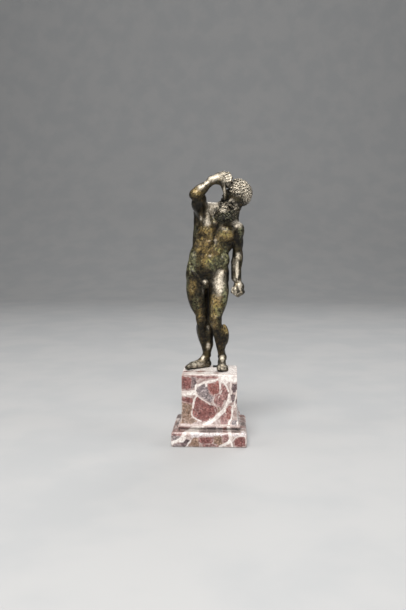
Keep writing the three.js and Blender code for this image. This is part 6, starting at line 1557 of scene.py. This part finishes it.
def bronze():
    p = Paint("patinated_bronze")
    fold = p.attribute("fold")
    ridge = p.attribute("ridge")
    detail = p.attribute("detail")
    rubbed_and_highlight = p.attribute("rubbed_and_highlight")
    gold = p.attribute("gold")
    green = p.attribute("green")
    # the near-black patches: dark patina, and painted shade and shadow
    dark = p.attribute("dark")
    cloud = p.noise(8.0, 4, 0.6, 1)
    blotch = p.noise(3.6, 4, 0.62, 8)
    mottle = p.noise(2.3, 3, 0.6, 2)
    mottle2 = p.noise(2.0, 3, 0.62, 3)
    mottle3 = p.noise(1.6, 3, 0.6, 7)
    grit = p.noise(0.85, 3, 0.6, 4)
    grit2 = p.noise(0.7, 3, 0.6, 5)
    speck = p.noise(0.26, 2, 0.5, 6)
    # the old patina: near-black and brown
    brown = p.step(p.add(p.times(cloud, 0.4), p.times(mottle, 0.6)), 0.44, 0.60)
    colour = p.mix(brown, (0.011, 0.009, 0.006), (0.084, 0.058, 0.028))
    bloom = p.times(p.step(mottle2, 0.48, 0.58), p.step(cloud, 0.38, 0.58, 0.15, 0.6))
    colour = p.mix(bloom, colour, (0.072, 0.066, 0.030))
    # olive green, in patches
    rust = p.add(p.times(mottle2, 0.7), p.times(grit, 0.3))
    verdi = p.times(p.step(p.add(rust, p.times(green, 0.12)), 0.49, 0.62), p.step(green, 0.05, 0.7))
    colour = p.mix(p.times(verdi, 0.85), colour, p.mix(p.step(mottle3, 0.42, 0.60), (0.052, 0.056, 0.024), (0.225, 0.220, 0.100)))
    # worn through to the golden metal, in patches
    wear = p.add(p.times(mottle3, 0.7), p.times(grit2, 0.3))
    gilt = p.times(p.step(p.add(wear, p.times(gold, 0.13)), 0.47, 0.60), p.step(gold, 0.05, 0.7))
    yellow = p.mix(p.step(green, 0.2, 0.8), (0.318, 0.218, 0.068), (0.370, 0.332, 0.100))
    colour = p.mix(p.times(gilt, 0.9), colour, p.mix(p.step(blotch, 0.42, 0.60), (0.142, 0.092, 0.031), yellow))
    # bright flecks and black spots all through it
    zone = p.math("MAXIMUM", p.step(gold, 0.1, 0.8), p.times(p.step(green, 0.1, 0.8), 0.6))
    fleck = p.times(p.step(p.noise(1.5, 2, 0.5, 12), 0.60, 0.67), p.times(zone, p.step(blotch, 0.44, 0.56)))
    colour = p.mix(p.times(fleck, 0.85), colour, (0.560, 0.480, 0.260))
    spot = p.times(p.step(p.noise(1.7, 2, 0.55, 14), 0.44, 0.37), p.step(cloud, 0.30, 0.55, 0.9, 0.6))
    colour = p.mix(p.times(spot, 0.85), colour, (0.010, 0.008, 0.006))
    grains = p.times(p.step(p.noise(0.95, 2, 0.55, 15), 0.47, 0.37), zone)
    colour = p.mix(p.times(grains, 0.75), colour, (0.020, 0.017, 0.009))
    # rubbed bright by hands, and painted highlights
    shine = p.add(p.add(p.times(mottle3, 0.5), p.times(grit, 0.3)), p.times(speck, 0.2))
    shine = p.times(p.step(rubbed_and_highlight, 0.05, 0.75), p.step(p.add(shine, p.times(rubbed_and_highlight, 0.18)), 0.46, 0.64, 0.10, 1.0))
    shine = p.times(shine, p.step(p.noise(1.4, 2, 0.55, 16), 0.36, 0.50, 0.55, 1.0))
    crest = p.times(p.step(ridge, 0.52, 0.75), p.step(mottle, 0.42, 0.60, 0.1, 0.5))
    bright = p.math("MAXIMUM", shine, p.times(crest, 0.35))
    colour = p.mix(bright, colour, p.mix(p.step(grit2, 0.38, 0.62), (0.400, 0.335, 0.250), (0.700, 0.635, 0.520)))
    # dirt and wax held in the folds, and the near-black patches, which are dark patina and painted shade
    held = p.math("MAXIMUM", p.step(fold, 0.60, 0.28), p.step(detail, 0.85, 0.40))
    clean = p.step(rubbed_and_highlight, 0.2, 1.0, 1.0, 0.46)
    black = p.math("MAXIMUM", p.times(p.times(held, 0.9), clean), p.times(dark, p.step(mottle3, 0.40, 0.60, 0.95, 0.55)))
    colour = p.mix(black, colour, (0.008, 0.007, 0.006))
    p.set("Base Color", colour)
    skin = p.math("MAXIMUM", p.times(verdi, 0.95), p.times(gilt, 0.6))
    # where highlights are painted, the metal is less metallic and rougher, so their pale colour shows from any side
    worn = p.math("MAXIMUM", p.times(bright, 0.62), p.times(p.math("MAXIMUM", held, spot), 0.6))
    p.set("Metallic", p.step(p.math("MAXIMUM", skin, worn), 0.0, 1.0, 0.92, 0.30))
    rough = p.step(grit, 0.3, 0.7, 0.30, 0.44)
    rough = p.add(rough, p.times(p.math("MAXIMUM", skin, p.math("MAXIMUM", held, spot)), 0.22))
    rough = p.add(rough, p.times(bright, 0.12), True)
    p.set("Roughness", rough)
    p.set("Coat Weight", 0.25)
    p.set("Coat Roughness", 0.28)
    p.set("Coat IOR", 1.45)
    height = p.add(p.times(grit2, 0.55), p.times(speck, 0.45))
    pits = p.step(p.noise(0.6, 2, 0.5, 9), 0.30, 0.42)
    normal = p.bump(height, 0.00016, 0.7)
    normal = p.bump(pits, 0.00014, 0.6, normal)
    p.set("Normal", normal)
    return p.material


def marble():
    p = Paint("breccia")
    fine = p.noise(0.9, 4, 0.6, 1)
    mottle = p.noise(2.2, 4, 0.6, 2)
    cloud = p.noise(7.0, 4, 0.55, 3)
    grain = p.noise(0.35, 3, 0.6, 4)
    hair = p.noise(3.5, 5, 0.62, 5, 0.6)
    # the ground between the fragments
    colour = p.mix(p.step(mottle, 0.38, 0.62), (0.27, 0.185, 0.165), (0.50, 0.405, 0.37))
    colour = p.mix(p.step(cloud, 0.45, 0.65, 0.0, 0.45), colour, (0.30, 0.22, 0.21))
    colour = p.mix(p.step(grain, 0.60, 0.72, 0.0, 0.35), colour, (0.30, 0.22, 0.20))
    shades = {
        "lilac": ((0.42, 0.355, 0.36), (0.70, 0.64, 0.63)),
        "brown": ((0.125, 0.068, 0.045), (0.29, 0.185, 0.130)),
        "mauve": ((0.130, 0.056, 0.054), (0.315, 0.160, 0.145)),
        "grey": ((0.085, 0.066, 0.070), (0.29, 0.235, 0.235)),
        "plum": ((0.045, 0.028, 0.031), (0.150, 0.098, 0.100)),
        "russet": ((0.135, 0.043, 0.036), (0.295, 0.108, 0.090)),
        "maroon": ((0.105, 0.034, 0.032), (0.255, 0.098, 0.086)),
    }
    warp = p.add(p.times(p.add(fine, -0.5), 1.7), p.times(p.add(mottle, -0.5), 1.2))
    for i, kind in enumerate(KINDS):
        dark, light = shades[kind]
        where = p.step(p.add(p.attribute(kind), warp), 0.16, -0.16)
        body = p.mix(p.step(p.noise(1.4, 4, 0.72, 11 + i), 0.36, 0.64), dark, light)
        pits = p.step(p.noise(1.5, 3, 0.65, 31 + i), 0.46, 0.38, 0.0, 0.65)
        body = p.mix(pits, body, tuple(c * 0.45 for c in dark))
        flecks = p.step(p.noise(1.3, 4, 0.68, 21 + i), 0.54, 0.64, 0.0, 0.70)
        body = p.mix(flecks, body, tuple(min(1, c * 1.8 + 0.06) for c in light))
        colour = p.mix(where, colour, body)
    # pale skins round the fragments and hair-fine veins through them
    edge = p.attribute("edge")
    skin = p.times(p.step(p.add(edge, p.times(warp, 0.5)), 0.55, 0.05), p.step(mottle, 0.40, 0.58, 0.1, 0.7))
    colour = p.mix(skin, colour, (0.56, 0.44, 0.41))
    line = p.step(p.math("ABSOLUTE", p.add(hair, -0.5)), 0.012, 0.004)
    colour = p.mix(p.times(line, p.step(cloud, 0.42, 0.55, 0.0, 0.65)), colour, (0.60, 0.50, 0.46))
    # the white veins
    vein = p.step(p.add(p.attribute("white"), p.times(warp, 1.1)), 0.20, -0.20)
    milk = p.mix(p.step(p.add(p.times(mottle, 0.6), p.times(fine, 0.4)), 0.40, 0.60), (0.60, 0.51, 0.475), (0.86, 0.82, 0.775))
    colour = p.mix(vein, colour, milk)
    # bruised arrises are pale, and painted shade darkens the recess under the moulding and the slab's top ledge
    worn = p.attribute("arris")
    colour = p.mix(p.step(p.add(worn, p.times(fine, 0.3)), 0.25, 0.75, 0.0, 0.6), colour, (0.62, 0.52, 0.48))
    recess_shade = p.times(p.attribute("recess_shade"), p.step(mottle, 0.35, 0.6, 0.15, 0.6))
    colour = p.mix(recess_shade, colour, (0.115, 0.090, 0.072))
    # the black mark between the heels, and the painted shadows at the toes
    colour = p.mix(p.step(p.attribute("black_mark_and_toe_shadows"), 0.25, -0.15), colour, (0.005, 0.0045, 0.004))
    p.set("Base Color", colour)
    rough = p.step(p.add(p.times(fine, 0.5), p.times(recess_shade, 0.5)), 0.2, 0.7, 0.26, 0.50)
    # the black mark and the painted toe shadows are fully rough, so that no reflection lightens them
    p.set("Roughness", p.math("MAXIMUM", rough, p.step(p.attribute("black_mark_and_toe_shadows"), 0.25, -0.15)))
    p.set("Specular IOR Level", 0.5)
    relief = p.add(p.times(grain, 0.5), p.times(vein, 0.35))
    p.set("Normal", p.bump(relief, 0.00010, 0.35))
    return p.material


def floor_paint():
    p = Paint("studio_floor")
    p.set("Base Color", p.mix(p.step(p.noise(60.0, 3, 0.5, 1), 0.35, 0.65), (0.40, 0.405, 0.41), (0.43, 0.43, 0.43)))
    p.set("Roughness", 0.75)
    return p.material


# ---- floor, lights and camera ------------------------------------------------------------
def build_floor():
    """A floor that sweeps up, well behind the object, into a plain wall."""
    line = [(-4.0, 0.0), (-1.0, 0.0), (0.0, 0.0), (1.2, 0.0)]
    for i in range(1, 25):
        a = i / 24 * math.pi / 2
        line.append((1.2 + 0.9 * math.sin(a), 0.9 * (1 - math.cos(a))))
    line.append((2.1, 3.5))
    bm = bmesh.new()
    rows = [[bm.verts.new((x, y, z)) for x in (-4.5, -1.5, 0.0, 1.5, 4.5)] for y, z in line]
    for low, high in zip(rows, rows[1:]):
        for i in range(4):
            bm.faces.new((low[i], low[i + 1], high[i + 1], high[i]))
    mesh = bpy.data.meshes.new("studio_floor")
    bm.to_mesh(mesh)
    bm.free()
    mesh.shade_smooth()
    floor = link("studio_floor", mesh)
    floor.location.z = -0.0002
    mesh.materials.append(floor_paint())
    return floor


def softbox(name, place, aim, width, height, power, colour=(1.0, 1.0, 1.0)):
    light = bpy.data.lights.new(name, "AREA")
    light.shape = "RECTANGLE"
    light.size = width
    light.size_y = height
    light.energy = power
    light.color = colour
    obj = bpy.data.objects.new(name, light)
    bpy.context.scene.collection.objects.link(obj)
    obj.location = place
    away = [place[i] - aim[i] for i in range(3)]
    length = math.sqrt(sum(c * c for c in away))
    obj.rotation_mode = "XYZ"
    obj.rotation_euler = (math.acos(away[2] / length), 0.0, math.atan2(away[1], away[0]) + math.pi / 2)
    return obj


def build_studio():
    world = bpy.data.worlds.new("studio")
    bpy.context.scene.world = world
    world.use_nodes = True
    sky = world.node_tree.nodes["Background"]
    sky.inputs["Color"].default_value = (0.93, 0.96, 1.0, 1.0)
    sky.inputs["Strength"].default_value = 0.08
    middle = (0.0, 0.0, 0.11)
    softbox("key", (-0.10, -0.62, 0.98), middle, 0.50, 0.42, 15.0, (1.0, 0.985, 0.96))
    softbox("front", (0.05, -1.10, 0.38), middle, 0.34, 0.34, 2.2, (1.0, 0.99, 0.98))
    softbox("left", (-0.95, -0.35, 0.45), middle, 0.30, 0.70, 2.2, (1.0, 0.99, 0.97))
    softbox("right", (0.95, -0.25, 0.50), middle, 0.30, 0.70, 2.6, (0.97, 0.985, 1.0))
    softbox("back", (0.20, 0.75, 1.00), middle, 0.50, 0.40, 4.0, (1.0, 1.0, 1.0))
    softbox("wall", (0.0, 0.35, 1.9), (0.0, 1.9, 0.1), 2.6, 0.5, 12.0, (1.0, 1.0, 1.0))
    view = bpy.context.scene.view_settings
    view.view_transform = "Standard"
    view.look = "None"


def build_camera():
    data = bpy.data.cameras.new("camera")
    data.lens = 41.31
    data.sensor_width = 36.0
    data.sensor_fit = "AUTO"
    data.clip_start = 0.02
    data.clip_end = 50.0
    camera = bpy.data.objects.new("camera", data)
    bpy.context.scene.collection.objects.link(camera)
    camera.location = (0.0164, -0.514, 0.1458)
    camera.rotation_euler = (math.radians(90 - 5.17), 0.0, math.radians(2.42))
    bpy.context.scene.camera = camera


# ---- the whole scene ---------------------------------------------------------------------
build_camera()
build_studio()
build_floor()

cast = build_figure()
cast.data.materials.clear()
cast.data.materials.append(bronze())
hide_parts("bronze_figure")
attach(cast, "root")

block = build_plinth()
block.data.materials.clear()
block.data.materials.append(marble())
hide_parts("marble_plinth")
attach(block, "root")
